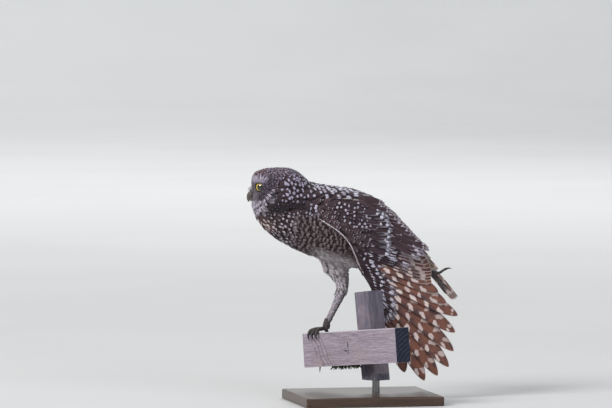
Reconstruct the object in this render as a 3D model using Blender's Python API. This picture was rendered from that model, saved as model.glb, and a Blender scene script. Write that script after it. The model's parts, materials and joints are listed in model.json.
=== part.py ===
"""Life-size burrowing owl stretching one wing and one leg on a wooden T perch.

The bird faces -X and its left side, with the stretched wing, faces -Y. Every named size and place
below is in millimetres, and MM turns it into Blender's metres where a mesh is made. The perch bar is
held by a length of its stake on a short rod and a flat display base. The finished model is moved so
that its origin is the middle of its underside.
"""

import math

import bmesh
import bpy
from mathutils import Matrix, Vector

MM = 0.001
GAP = 0.3

# Head: a frame of its own, forward along the bill, turned a little to the bird's right
HEAD_CENTRE = Vector((-79.5, 0.0, 228.5))
HEAD_TURN = math.radians(12.0)
HEAD_FRONT = 31.0
HEAD_BACK = 31.0
HEAD_HALF_WIDTH = 25.5
HEAD_TOP = 22.6
HEAD_BOTTOM = 24.0
HEAD_SQUARENESS = 2.35
BROW_RISE = 2.0
DISC_DIP = 4.0
FOREHEAD_RISE = 5.5
CHIN_RISE = 13.0
EYE_FORWARD = 18.3
EYE_SIDE = 12.2
EYE_UP = 2.0
EYE_RADIUS = 7.6
GAZE_OUT = math.radians(34.0)
LID_RING = 6.4
LID_ROLL = 1.25

# Bill: stations of the upper half as forward, up, half width, half depth
BILL_TOP = (
    (23.5, -5.0, 5.6, 5.4),
    (28.5, -4.6, 5.2, 5.0),
    (32.0, -5.4, 4.4, 4.2),
    (34.2, -7.9, 3.4, 3.1),
    (35.2, -11.0, 2.1, 2.0),
    (35.0, -14.6, 0.6, 0.5),
)
BILL_LOW = (
    (21.5, -11.4, 4.8, 2.8),
    (27.0, -11.3, 4.2, 2.7),
    (31.0, -12.0, 3.0, 2.1),
    (33.4, -13.4, 1.3, 0.9),
)
NOSTRIL = (32.6, 3.0, -4.2)
NOSTRIL_RADIUS = 0.8

# Body: each station is the back's point, the belly's point and the half width there
BODY = (
    ((-64.0, 244.0), (-109.0, 213.0), 20.0),
    ((-52.0, 237.5), (-109.5, 203.0), 24.0),
    ((-39.0, 233.5), (-102.0, 190.0), 29.5),
    ((-23.0, 231.0), (-87.0, 176.0), 34.0),
    ((-5.0, 228.5), (-65.0, 163.0), 37.0),
    ((14.0, 223.0), (-40.0, 152.5), 38.0),
    ((32.0, 213.0), (-14.0, 144.0), 36.0),
    ((47.0, 201.0), (13.0, 140.5), 31.0),
    ((59.0, 188.0), (37.0, 144.0), 24.0),
    ((68.0, 175.0), (53.0, 152.0), 15.0),
    ((72.0, 168.0), (64.0, 157.0), 8.0),
)
BODY_SIDES = 24
STATIONS_PER_SPAN = 2
HEAD_SEAM = (Vector((-77.0, 0.0, 219.5)), Vector((-0.53, 0.0, 0.85)))
NECK_SEAM = (Vector((-64.0, 0.0, 208.5)), Vector((-0.62, 0.0, 0.785)))

# Feathers: stations are the place along the shaft and the share of the full width there
VANE_THICKNESS = 0.55
PLANE_STATIONS = ((0.0, 0.14), (0.2, 0.55), (0.5, 1.0), (0.8, 1.0), (0.93, 0.72), (1.0, 0.22))
COVERT_STATIONS = ((0.0, 0.3), (0.5, 1.0), (0.8, 0.95), (1.0, 0.3))
LEADING_SHARE = 0.28

# Left wing, let down and back: the flight feathers from the innermost out
ELBOW_LEFT = Vector((11.0, -37.0, 205.0))
WRIST_LEFT = Vector((-2.0, -34.0, 157.0))
HAND_TIP_LEFT = Vector((23.0, -20.5, 112.0))
PRIMARY_LENGTHS = (88.0, 95.0, 104.0, 117.0, 119.0, 125.0, 128.0, 122.0, 113.0, 90.0)
PRIMARY_FALL = (19.0, 21.5, 24.0, 26.0, 33.0, 40.0, 46.5, 53.0, 60.0, 69.0)
PRIMARY_TILT = (17.0, 17.0, 17.0, 15.0, 12.0, 9.0, 7.0, 6.0, 5.0, 5.0)
PRIMARY_WIDTH = 16.5
PRIMARY_TIP_Y = (-26.0, -17.0)
SECONDARY_LENGTHS = (87.0, 86.0, 85.0, 81.0, 75.0, 66.0, 56.0, 45.0)
SECONDARY_FALL = (21.5, 22.5, 23.5, 24.5, 25.5, 26.5, 27.0, 27.0)
SECONDARY_TILT = 12.0
SECONDARY_WIDTH = 18.0
SECONDARY_TIP_Y = (-27.0, -33.0)
WING_CORE_LEFT = (
    (Vector((-52.0, -29.0, 203.0)), Vector((-46.0, -28.0, 216.0)), 2.5),
    (Vector((-37.0, -34.5, 193.0)), Vector((-26.0, -34.0, 219.0)), 4.0),
    (Vector((-22.0, -37.5, 182.5)), Vector((-4.0, -36.5, 217.0)), 4.4),
    (Vector((-11.5, -38.0, 170.5)), Vector((15.0, -37.0, 208.0)), 4.2),
    (Vector((-5.0, -36.5, 157.5)), Vector((15.0, -36.0, 186.0)), 3.8),
    (Vector((1.5, -32.0, 144.5)), Vector((16.0, -32.0, 163.0)), 3.2),
    (Vector((10.5, -27.0, 130.5)), Vector((21.0, -27.0, 141.0)), 2.5),
    (Vector((20.0, -21.5, 113.5)), Vector((26.0, -21.5, 119.0)), 1.4),
    (Vector((22.0, -20.8, 108.0)), Vector((27.5, -20.8, 112.5)), 1.0),
)
CORE_SIDES = 10

# Right wing, folded along the far side
ELBOW_RIGHT = Vector((10.0, 37.5, 200.0))
WRIST_RIGHT = Vector((-50.0, 34.0, 189.0))
HAND_TIP_RIGHT = Vector((-10.0, 37.5, 169.0))
FOLDED_LENGTHS = (98.0, 108.0, 114.0, 117.0, 115.0, 106.0)
FOLDED_FALL = (18.0, 19.5, 21.0, 22.5, 24.0, 26.0)
FOLDED_TIP_Y = (24.0, 20.0)
FOLDED_INNER_LENGTHS = (92.0, 92.0, 90.0, 86.0, 80.0, 72.0, 62.0)
FOLDED_INNER_FALL = (20.0, 19.5, 19.0, 19.0, 19.0, 18.5, 18.0)
FOLDED_INNER_TIP_Y = (25.0, 27.0)
FOLDED_WIDTH = 16.0
WING_CORE_RIGHT = (
    (Vector((-58.0, 27.0, 197.0)), Vector((-50.0, 27.0, 213.0)), 2.5),
    (Vector((-50.0, 33.0, 184.0)), Vector((-34.0, 33.0, 217.0)), 4.2),
    (Vector((-34.0, 36.5, 173.0)), Vector((-12.0, 36.0, 217.0)), 4.6),
    (Vector((-16.0, 38.0, 165.0)), Vector((8.0, 37.0, 212.0)), 4.4),
    (Vector((0.0, 38.0, 163.0)), Vector((22.0, 36.5, 203.0)), 3.6),
    (Vector((14.0, 36.5, 164.0)), Vector((30.0, 34.5, 192.0)), 2.0),
)

# Tiers over the roots: share of the feather covered, lift at the root and at the tip, width
PRIMARY_COVERTS = (0.38, 1.6, 4.0, 11.0)
GREATER_COVERTS = (0.50, 1.6, 4.2, 12.0)
MEDIAN_COVERTS = (0.30, 2.6, 5.6, 11.0)
FOLDED_COVERTS = (0.46, 1.6, 4.2, 12.0)
COVERT_TILT = 7.0
COVERT_BULGE = 0.8
SCAPULARS = 6
SCAPULAR_LENGTH = 34.0
SCAPULAR_WIDTH = 13.0
SCAPULAR_FALL = math.radians(17.0)
SCAPULAR_SET = Vector((-6.0, 0.0, -10.0))
SCAPULAR_LIFT = (1.5, 3.2)
SCAPULAR_TILT = 10.0
SCAPULAR_BULGE = 1.6
STRETCHED_BULGE = 2.0
FOLDED_BULGE = 3.0
FOLDED_TILT = 6.0

# Tail
TAIL_ROOT = Vector((61.0, 4.5, 168.0))
TAIL_LENGTH = 82.0
TAIL_FALL = math.radians(47.0)
TAIL_FAN = math.radians(13.0)
TAIL_ROLL = math.radians(18.0)
TAIL_FEATHERS = 12
TAIL_WIDTH = 17.0
TAIL_LAYERS = 1.9
TAIL_ROUNDING = 3.0
TAIL_ROOT_SPREAD = 5.0
TAIL_TILT = -4.0
TAIL_COVERTS = 7
TAIL_COVERT_SHARE = 0.48
TAIL_COVERT_WIDTH = 12.0
TAIL_COVERT_LIFT = (2.0, 4.6)
TAIL_CORE = ((-4.0, 6.0, 8.0), (8.0, 5.0, 7.5), (24.0, 2.0, 4.5))

# Legs: centre, half width fore and aft, half width across
THIGH_RIGHT = (
    (Vector((-22.0, 13.0, 172.0)), 17.0, 13.0),
    (Vector((-19.0, 11.0, 158.0)), 18.0, 13.0),
    (Vector((-16.0, 8.5, 145.0)), 15.5, 11.5),
    (Vector((-12.0, 6.0, 134.0)), 10.5, 9.0),
    (Vector((-10.0, 4.5, 125.0)), 7.2, 7.0),
    (Vector((-10.5, 4.0, 118.0)), 6.2, 6.2),
)
SHANK_RIGHT = (
    (Vector((-10.5, 4.0, 117.6)), 6.0, 6.0),
    (Vector((-13.5, 3.2, 110.0)), 5.0, 5.0),
    (Vector((-19.5, 1.8, 98.0)), 3.9, 3.9),
    (Vector((-25.0, 0.6, 87.5)), 3.6, 3.7),
    (Vector((-28.0, 0.0, 80.0)), 4.2, 4.2),
)
THIGH_LEFT = (
    (Vector((-2.0, -12.0, 160.0)), 12.0, 11.0),
    (Vector((13.0, -14.0, 152.0)), 12.0, 10.5),
    (Vector((27.0, -15.5, 147.5)), 9.5, 8.5),
    (Vector((38.0, -16.5, 145.5)), 6.6, 7.0),
    (Vector((45.0, -17.0, 145.0)), 5.6, 6.0),
)
SHANK_LEFT = (
    (Vector((45.4, -17.0, 145.0)), 5.4, 5.8),
    (Vector((56.0, -17.6, 143.0)), 4.4, 4.6),
    (Vector((70.0, -18.6, 140.0)), 3.7, 3.8),
    (Vector((84.0, -20.0, 136.0)), 3.8, 3.9),
)

# Feet: the standing foot's stations are given in the bar's frame, the raised foot's from its heel
FOOT_SPOT = Vector((-29.0, 0.0, 73.0))
ANKLE_HEIGHT = 9.5
PAD_RADIUS = 4.6
TOE_SPREAD = (-7.0, 3.0, 13.0)
TOE_RADII = (3.0, 2.9, 2.7, 2.4, 1.6, 0.35)
BACK_TOE_RADII = (2.8, 2.7, 2.5, 2.2, 1.5, 0.35)
HEEL_LEFT = Vector((84.4, -20.0, 136.0))
HEEL_CUT = Vector((-1.0, 0.0, 0.28))
RAISED_PAD = Vector((3.6, 0.0, -0.8))
RAISED_PAD_RADIUS = 3.9
RAISED_TOES = ((6.0, -1.5), (1.0, -4.0), (-5.0, -1.0), (-9.0, 2.0))
RAISED_TOE_RADII = (2.7, 2.6, 2.4, 2.1, 1.5, 0.35)

# Perch: the bar's frame starts under the standing foot
BAR_YAW = math.radians(30.0)
BAR_ROLL = math.radians(5.5)
STAKE_ROLL = math.radians(7.5)
BAR_LENGTH = 148.0
BAR_FAR_END = 25.0
BAR_THICK = 20.0
BAR_HEIGHT = 37.0
BAR_FRONT = 12.0
EDGE_ROUNDING = 0.8
STAKE_SIDE = 21.5
STAKE_NEAR = 63.0
STAKE_ABOVE = 39.0
STAKE_CUT = 24.0
STAKE_BELOW = 90.0

# Display stand
BASE_SIZE = (150.0, 132.0, 10.0)
BASE_MIDDLE = (4.0, -34.0)
BASE_ROUNDING = 2.0
ROD_RADIUS = 4.0


def clear_scene():
    """Removes every object of the scene that the script starts in."""
    for thing in list(bpy.data.objects):
        bpy.data.objects.remove(thing, do_unlink=True)


def new_collection(name, hidden=False):
    """A collection linked to the scene, left out of renders when hidden."""
    made = bpy.data.collections.new(name)
    bpy.context.scene.collection.children.link(made)
    made.hide_render = hidden
    return made


def finish_material(name, colour, roughness):
    """A plain Principled finish for one sub-part."""
    made = bpy.data.materials.new(name)
    made.use_nodes = True
    shader = made.node_tree.nodes["Principled BSDF"]
    shader.inputs["Base Color"].default_value = (*colour, 1.0)
    shader.inputs["Roughness"].default_value = roughness
    shader.inputs["Metallic"].default_value = 0.0
    return made


def object_from(bm, name, collection):
    """Turns a bmesh in millimetres into an object in metres, faces pointing out."""
    bm.normal_update()
    bmesh.ops.recalc_face_normals(bm, faces=bm.faces[:])
    bmesh.ops.scale(bm, vec=(MM, MM, MM), verts=bm.verts[:])
    mesh = bpy.data.meshes.new(name)
    bm.to_mesh(mesh)
    bm.free()
    made = bpy.data.objects.new(name, mesh)
    collection.objects.link(made)
    return made


def baked(thing, name, collection):
    """The evaluated mesh of an object as a new object, its largest closed surface only."""
    graph = bpy.context.evaluated_depsgraph_get()
    graph.update()
    mesh = bpy.data.meshes.new_from_object(thing.evaluated_get(graph))
    mesh.transform(thing.matrix_world)
    bpy.data.objects.remove(thing, do_unlink=True)
    bm = bmesh.new()
    bm.from_mesh(mesh)
    bmesh.ops.triangulate(bm, faces=bm.faces[:])
    keep_largest(bm)
    bm.to_mesh(mesh)
    bm.free()
    made = bpy.data.objects.new(name, mesh)
    collection.objects.link(made)
    return made


def keep_largest(bm):
    """Deletes every connected surface but the one of most volume."""
    bm.faces.ensure_lookup_table()
    unseen = set(bm.faces)
    groups = []
    while unseen:
        stack = [unseen.pop()]
        group = []
        while stack:
            face = stack.pop()
            group.append(face)
            for edge in face.edges:
                for other in edge.link_faces:
                    if other in unseen:
                        unseen.discard(other)
                        stack.append(other)
        groups.append(group)

    def volume(group):
        return sum(f.calc_center_median().dot(f.normal) * f.calc_area() for f in group) / 3.0

    groups.sort(key=volume)
    scraps = [face for group in groups[:-1] for face in group]
    if scraps:
        bmesh.ops.delete(bm, geom=scraps, context="FACES")


def union(name, pieces, collection, helpers, solver="MANIFOLD"):
    """Joins closed pieces into one closed body by one Boolean on a collection."""
    first, rest = pieces[0], pieces[1:]
    group = bpy.data.collections.new(name + "_pieces")
    helpers.children.link(group)
    for piece in rest:
        group.objects.link(piece)
    joint = first.modifiers.new("join", "BOOLEAN")
    joint.operation = "UNION"
    joint.operand_type = "COLLECTION"
    joint.collection = group
    joint.solver = solver
    made = baked(first, name, collection)
    for piece in rest:
        bpy.data.objects.remove(piece, do_unlink=True)
    bpy.data.collections.remove(group)
    return made


def carved(thing, cutter, collection, keep_cutter=False, solver="MANIFOLD"):
    """The object with the cutter's volume taken away."""
    name = thing.name
    cut = thing.modifiers.new("cut", "BOOLEAN")
    cut.operation = "DIFFERENCE"
    cut.object = cutter
    cut.solver = solver
    thing.name = name + "_uncut"
    made = baked(thing, name, collection)
    if not keep_cutter:
        bpy.data.objects.remove(cutter, do_unlink=True)
    return made


def copied(thing, name, collection):
    """A second object with its own copy of the mesh."""
    made = bpy.data.objects.new(name, thing.data.copy())
    collection.objects.link(made)
    return made


def swollen(thing, by, collection):
    """A copy pushed out along its normals, to cut a neighbour clear of it."""
    made = copied(thing, thing.name + "_swollen", collection)
    bm = bmesh.new()
    bm.from_mesh(made.data)
    bm.normal_update()
    moves = [(vert, vert.normal.copy()) for vert in bm.verts]
    for vert, normal in moves:
        vert.co += normal * by * MM
    bm.to_mesh(made.data)
    bm.free()
    return made


def half_space(point, normal, collection):
    """A large block whose face lies on a plane and whose bulk is on the normal's side."""
    reach = 400.0
    bm = bmesh.new()
    bmesh.ops.create_cube(bm, size=reach)
    turn = normal.normalized().to_track_quat("Z", "Y").to_matrix().to_4x4()
    place = Matrix.Translation(point + normal.normalized() * reach / 2)
    bmesh.ops.transform(bm, matrix=place @ turn, verts=bm.verts[:])
    return object_from(bm, "half_space", collection)


def loft(rings, name, collection):
    """A closed skin through rings of equally many points."""
    bm = bmesh.new()
    rows = [[bm.verts.new(point) for point in ring] for ring in rings]
    count = len(rows[0])
    for near, far in zip(rows, rows[1:]):
        for i in range(count):
            j = (i + 1) % count
            bm.faces.new((near[i], near[j], far[j], far[i]))
    bm.faces.new(rows[0])
    bm.faces.new(rows[-1])
    bmesh.ops.triangulate(bm, faces=bm.faces[:])
    return object_from(bm, name, collection)


def smooth_between(values, t):
    """Catmull-Rom reading of a list of numbers or vectors at a place t in spans."""
    last = len(values) - 1
    i = min(int(t), last - 1)
    u = t - i
    before = values[max(i - 1, 0)]
    start, end = values[i], values[i + 1]
    after = values[min(i + 2, last)]
    return (
        start * 1.0
        + (end - before) * (0.5 * u)
        + (before * 2.0 - start * 5.0 + end * 4.0 - after) * (0.5 * u * u)
        + (start * 3.0 - end * 3.0 + after - before) * (0.5 * u * u * u)
    )


def limb(stations, sides, per_span, name, collection):
    """A loft along a limb from (centre, half depth, half width) stations, across Y."""
    centres = [station[0] for station in stations]
    depths = [station[1] for station in stations]
    widths = [station[2] for station in stations]
    count = (len(stations) - 1) * per_span
    rings = []
    for k in range(count + 1):
        t = k / per_span
        centre = smooth_between(centres, t)
        ahead = smooth_between(centres, min(t + 0.05, len(stations) - 1))
        behind = smooth_between(centres, max(t - 0.05, 0.0))
        along = (ahead - behind).normalized()
        across = Vector((0.0, 1.0, 0.0))
        depth_way = along.cross(across).normalized()
        across = depth_way.cross(along)
        depth = smooth_between(depths, t)
        width = smooth_between(widths, t)
        ring = []
        for i in range(sides):
            turn = 2.0 * math.pi * i / sides
            ring.append(centre + depth_way * depth * math.cos(turn) + across * width * math.sin(turn))
        rings.append(ring)
    return loft(rings, name, collection)


def vane(root, tip, face, width, stations, name, collection, lead=1.0, bulge=0.0, tilt=0.0):
    """One feather vane: a thin plate, alike on both faces, tilted about its shaft like a louvre.

    face points out of the wing's upper side and lead says which side of the shaft leads. bulge
    arches the shaft towards the face, and tilt is in degrees.
    """
    shaft = tip - root
    side = face.cross(shaft).normalized() * lead
    up = shaft.cross(side).normalized() * lead
    lean = math.radians(tilt)
    way = side * math.cos(lean) + up * math.sin(lean)
    bm = bmesh.new()
    bmesh.ops.create_grid(bm, x_segments=1, y_segments=len(stations) - 1, size=1.0)
    for vert in bm.verts:
        row = round((vert.co.y + 1.0) / 2.0 * (len(stations) - 1))
        t, share = stations[row]
        arch = 4.0 * t * (1.0 - t)
        centre = root + shaft * t + up * bulge * arch
        reach = width * share * (LEADING_SHARE if vert.co.x > 0 else -(1.0 - LEADING_SHARE))
        vert.co = centre + way * reach
    bmesh.ops.triangulate(bm, faces=bm.faces[:])
    bm.normal_update()
    bmesh.ops.recalc_face_normals(bm, faces=bm.faces[:])
    bmesh.ops.solidify(bm, geom=bm.faces[:] + bm.edges[:] + bm.verts[:], thickness=VANE_THICKNESS)
    return object_from(bm, name, collection)


def head_point(forward, side, up):
    """A place given in the head's own frame; side is positive to the bird's left."""
    ahead = Vector((-math.cos(HEAD_TURN), math.sin(HEAD_TURN), 0.0))
    left = Vector((-math.sin(HEAD_TURN), -math.cos(HEAD_TURN), 0.0))
    return HEAD_CENTRE + ahead * forward + left * side + Vector((0.0, 0.0, up))


def head_shape(helpers):
    """The round, flat-faced head with its brow ridge and shallow facial disc."""
    bm = bmesh.new()
    bmesh.ops.create_uvsphere(bm, u_segments=28, v_segments=18, radius=1.0)
    for vert in bm.verts:
        forward, side, up = vert.co
        power = HEAD_SQUARENESS
        size = (abs(forward) ** power + abs(side) ** power + abs(up) ** power) ** (1.0 / power)
        forward, side, up = forward / size, side / size, up / size
        place = Vector((
            forward * (HEAD_FRONT if forward > 0 else HEAD_BACK),
            side * HEAD_HALF_WIDTH,
            up * (HEAD_TOP if up > 0 else HEAD_BOTTOM),
        ))
        frontness = max(0.0, forward)
        brow = math.exp(-((place.z - 9.5) / 4.0) ** 2) * math.exp(-((abs(place.y) - 9.0) / 8.0) ** 2)
        disc = math.exp(-((place.z - 0.0) / 7.0) ** 2) * math.exp(-((abs(place.y) - 14.0) / 6.0) ** 2)
        chin = math.exp(-((place.z + 19.0) / 5.0) ** 2) * math.exp(-(place.y / 10.0) ** 2)
        forehead = math.exp(-((place.z - 18.0) / 6.0) ** 2)
        place.x += frontness * (
            BROW_RISE * brow + FOREHEAD_RISE * forehead - DISC_DIP * disc + CHIN_RISE * chin
        )
        vert.co = head_point(*place)
    return object_from(bm, "head_shape", helpers)


def body_shape(helpers):
    """Neck and trunk in one loft, from inside the head to the rump."""
    backs = [Vector((p[0], 0.0, p[1])) for p, _, _ in BODY]
    bellies = [Vector((p[0], 0.0, p[1])) for _, p, _ in BODY]
    widths = [w for _, _, w in BODY]
    count = (len(BODY) - 1) * STATIONS_PER_SPAN
    rings = []
    for k in range(count + 1):
        t = k / STATIONS_PER_SPAN
        back = smooth_between(backs, t)
        belly = smooth_between(bellies, t)
        width = smooth_between(widths, t)
        centre = (back + belly) / 2.0
        half = (back - belly) / 2.0
        ring = []
        for i in range(BODY_SIDES):
            turn = 2.0 * math.pi * i / BODY_SIDES
            ring.append(centre + half * math.cos(turn) + Vector((0.0, width * math.sin(turn), 0.0)))
        rings.append(ring)
    return loft(rings, "body_shape", helpers)


def eye_centre(side):
    """Middle of the eyeball on one side, +1 for left."""
    return head_point(EYE_FORWARD, EYE_SIDE * side, EYE_UP)


def gaze(side):
    """Unit vector out of the eye on one side."""
    out = head_point(math.cos(GAZE_OUT), math.sin(GAZE_OUT) * side, 0.08) - head_point(0.0, 0.0, 0.0)
    return out.normalized()


def ball(centre, radius, name, collection, rings=8):
    """A round ball."""
    bm = bmesh.new()
    bmesh.ops.create_uvsphere(bm, u_segments=rings * 2, v_segments=rings, radius=radius)
    bmesh.ops.translate(bm, vec=centre, verts=bm.verts[:])
    return object_from(bm, name, collection)


def lid_ring(side, helpers):
    """The rolled rim of the two lids round one eye."""
    bm = bmesh.new()
    bmesh.ops.create_circle(bm, segments=6, radius=LID_ROLL)
    bmesh.ops.rotate(bm, cent=(0, 0, 0), matrix=Matrix.Rotation(math.pi / 2, 3, "X"), verts=bm.verts[:])
    bmesh.ops.translate(bm, vec=(LID_RING, 0.0, 0.0), verts=bm.verts[:])
    bmesh.ops.spin(
        bm, geom=bm.verts[:] + bm.edges[:], cent=(0, 0, 0), axis=(0, 0, 1), angle=2 * math.pi, steps=16,
        use_merge=True,
    )
    way = gaze(side)
    reach = math.sqrt(EYE_RADIUS ** 2 - LID_RING ** 2) + 0.6
    turn = way.to_track_quat("Z", "Y").to_matrix().to_4x4()
    place = Matrix.Translation(eye_centre(side) + way * reach)
    bmesh.ops.transform(bm, matrix=place @ turn, verts=bm.verts[:])
    return object_from(bm, "lid_ring", helpers)


def build_bill(stations, name, collection):
    """Half a bill lofted through its stations in the head's frame."""
    rings = []
    sides = 10
    for k, (forward, up, half_width, half_depth) in enumerate(stations):
        ahead = stations[min(k + 1, len(stations) - 1)]
        behind = stations[max(k - 1, 0)]
        slope = math.atan2(ahead[1] - behind[1], ahead[0] - behind[0])
        ring = []
        for i in range(sides):
            turn = 2.0 * math.pi * i / sides
            lift = half_depth * math.cos(turn)
            ring.append(head_point(
                forward - lift * math.sin(slope), half_width * math.sin(turn), up + lift * math.cos(slope)
            ))
        rings.append(ring)
    return loft(rings, name, collection)


def build_head(owl, helpers):
    """Head, neck and torso parted from one form, with the eyes and bill set in the face."""
    whole = union("whole", [head_shape(helpers), body_shape(helpers)], helpers, helpers)
    head_point_on, head_up = HEAD_SEAM
    neck_point_on, neck_up = NECK_SEAM
    half = GAP / 2.0
    torso = copied(whole, "torso", owl)
    torso = carved(torso, half_space(neck_point_on - neck_up * half, neck_up, helpers), owl)
    neck = copied(whole, "neck", owl)
    neck = carved(neck, half_space(head_point_on - head_up * half, head_up, helpers), owl)
    neck = carved(neck, half_space(neck_point_on + neck_up * half, -neck_up, helpers), owl)
    whole.name = "head_uncut"
    head = carved(whole, half_space(head_point_on + head_up * half, -head_up, helpers), owl)
    head = union("head", [head, lid_ring(1, helpers), lid_ring(-1, helpers)], owl, helpers)
    for side, name in ((1, "eye_left"), (-1, "eye_right")):
        ball(eye_centre(side), EYE_RADIUS, name, owl)
        head = carved(head, ball(eye_centre(side), EYE_RADIUS + GAP, "socket", helpers), owl)
    skin = swollen(head, GAP, helpers)
    upper = build_bill(BILL_TOP, "bill_upper", owl)
    for side in (1, -1):
        forward, across, up = NOSTRIL
        pit = ball(head_point(forward, across * side, up), NOSTRIL_RADIUS, "nostril", helpers, rings=5)
        upper = carved(upper, pit, owl)
    upper = carved(upper, skin, owl, keep_cutter=True)
    lower = build_bill(BILL_LOW, "bill_lower", owl)
    lower = carved(lower, skin, owl)
    lower = carved(lower, swollen(upper, GAP, helpers), owl)
    return torso


def feather_row(roots, falls, lengths, tips_y):
    """A list of (root, tip) for feathers set along a bone, each falling by its own angle."""
    row = []
    for k, (fall, length) in enumerate(zip(falls, lengths)):
        share = k / (len(lengths) - 1)
        root = roots[0].lerp(roots[1], 0.03 + 0.94 * share)
        turn = math.radians(fall)
        tip = root + Vector((length * math.cos(turn), 0.0, -length * math.sin(turn)))
        tip.y = tips_y[0] + (tips_y[1] - tips_y[0]) * share
        row.append((root, tip))
    return row


def covert_row(row, tier, lead, face, helpers):
    """A tier of short vanes over the roots of a row of flight feathers."""
    share, root_lift, tip_lift, width = tier
    made = []
    for root, tip in row:
        start = root + face * root_lift
        end = root + (tip - root) * share + face * tip_lift
        made.append(vane(start, end, face, width, COVERT_STATIONS, "covert", helpers, lead=lead,
                         bulge=COVERT_BULGE, tilt=COVERT_TILT))
    return made


def wing_core(stations, face, helpers):
    """The feathered flesh of a wing: a lens-shaped loft between its leading and trailing edges."""
    rings = []
    for edge, inner, half in stations:
        middle = (edge + inner) / 2.0
        across = (inner - edge) / 2.0
        ring = []
        for i in range(CORE_SIDES):
            turn = 2.0 * math.pi * i / CORE_SIDES
            ring.append(middle - across * math.cos(turn) + face * half * math.sin(turn))
        rings.append(ring)
    return loft(rings, "wing_core", helpers)


def scapular_row(core, face, lead, helpers):
    """Broad shoulder feathers lying back over the top of a wing."""
    made = []
    inner = [station[1] for station in core[1:5]]
    for k in range(SCAPULARS):
        t = (len(inner) - 1) * k / (SCAPULARS - 1)
        root = smooth_between(inner, t) + SCAPULAR_SET + face * SCAPULAR_LIFT[0]
        way = Vector((math.cos(SCAPULAR_FALL), 0.0, -math.sin(SCAPULAR_FALL)))
        tip = root + way * SCAPULAR_LENGTH + face * SCAPULAR_LIFT[1]
        made.append(vane(root, tip, face, SCAPULAR_WIDTH, COVERT_STATIONS, "scapular", helpers,
                         lead=lead, bulge=SCAPULAR_BULGE, tilt=SCAPULAR_TILT))
    return made


def build_wing_left(owl, helpers):
    """The stretched left wing: its core, flight feathers and the tiers that cover their roots."""
    face = Vector((0.0, -1.0, 0.0))
    hand = (WRIST_LEFT, HAND_TIP_LEFT)
    ulna = (WRIST_LEFT + Vector((2.0, 0.0, 4.0)), ELBOW_LEFT)
    primaries = feather_row(hand, PRIMARY_FALL, PRIMARY_LENGTHS, PRIMARY_TIP_Y)
    secondaries = feather_row(ulna, SECONDARY_FALL, SECONDARY_LENGTHS, SECONDARY_TIP_Y)
    pieces = [wing_core(WING_CORE_LEFT, face, helpers)]
    for (root, tip), tilt in zip(primaries, PRIMARY_TILT):
        pieces.append(vane(root, tip, face, PRIMARY_WIDTH, PLANE_STATIONS, "primary", helpers,
                           lead=-1.0, bulge=STRETCHED_BULGE, tilt=tilt))
    for root, tip in secondaries:
        pieces.append(vane(root, tip, face, SECONDARY_WIDTH, PLANE_STATIONS, "secondary", helpers,
                           lead=-1.0, bulge=STRETCHED_BULGE, tilt=SECONDARY_TILT))
    pieces += covert_row(primaries[1:], PRIMARY_COVERTS, -1.0, face, helpers)
    pieces += covert_row(secondaries, GREATER_COVERTS, -1.0, face, helpers)
    pieces += covert_row(secondaries, MEDIAN_COVERTS, -1.0, face, helpers)
    pieces += scapular_row(WING_CORE_LEFT, face, -1.0, helpers)
    return union("wing_left", pieces, owl, helpers)


def build_wing_right(owl, helpers):
    """The right wing folded along the far side, its primaries under its secondaries."""
    face = Vector((0.0, 1.0, 0.0))
    hand = (HAND_TIP_RIGHT.lerp(WRIST_RIGHT, 0.7), HAND_TIP_RIGHT)
    ulna = (WRIST_RIGHT + Vector((10.0, 2.0, 2.0)), ELBOW_RIGHT)
    primaries = feather_row(hand, FOLDED_FALL, FOLDED_LENGTHS, FOLDED_TIP_Y)
    secondaries = feather_row(ulna, FOLDED_INNER_FALL, FOLDED_INNER_LENGTHS, FOLDED_INNER_TIP_Y)
    pieces = [wing_core(WING_CORE_RIGHT, face, helpers)]
    for root, tip in primaries:
        pieces.append(vane(root, tip, face, FOLDED_WIDTH, PLANE_STATIONS, "primary", helpers, lead=1.0,
                           bulge=FOLDED_BULGE, tilt=FOLDED_TILT))
    for root, tip in secondaries:
        pieces.append(vane(root, tip, face, SECONDARY_WIDTH, PLANE_STATIONS, "secondary", helpers,
                           lead=1.0, bulge=FOLDED_BULGE, tilt=SECONDARY_TILT))
    pieces += covert_row(secondaries, FOLDED_COVERTS, 1.0, face, helpers)
    pieces += scapular_row(WING_CORE_RIGHT, face, 1.0, helpers)
    return union("wing_right", pieces, owl, helpers)


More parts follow.
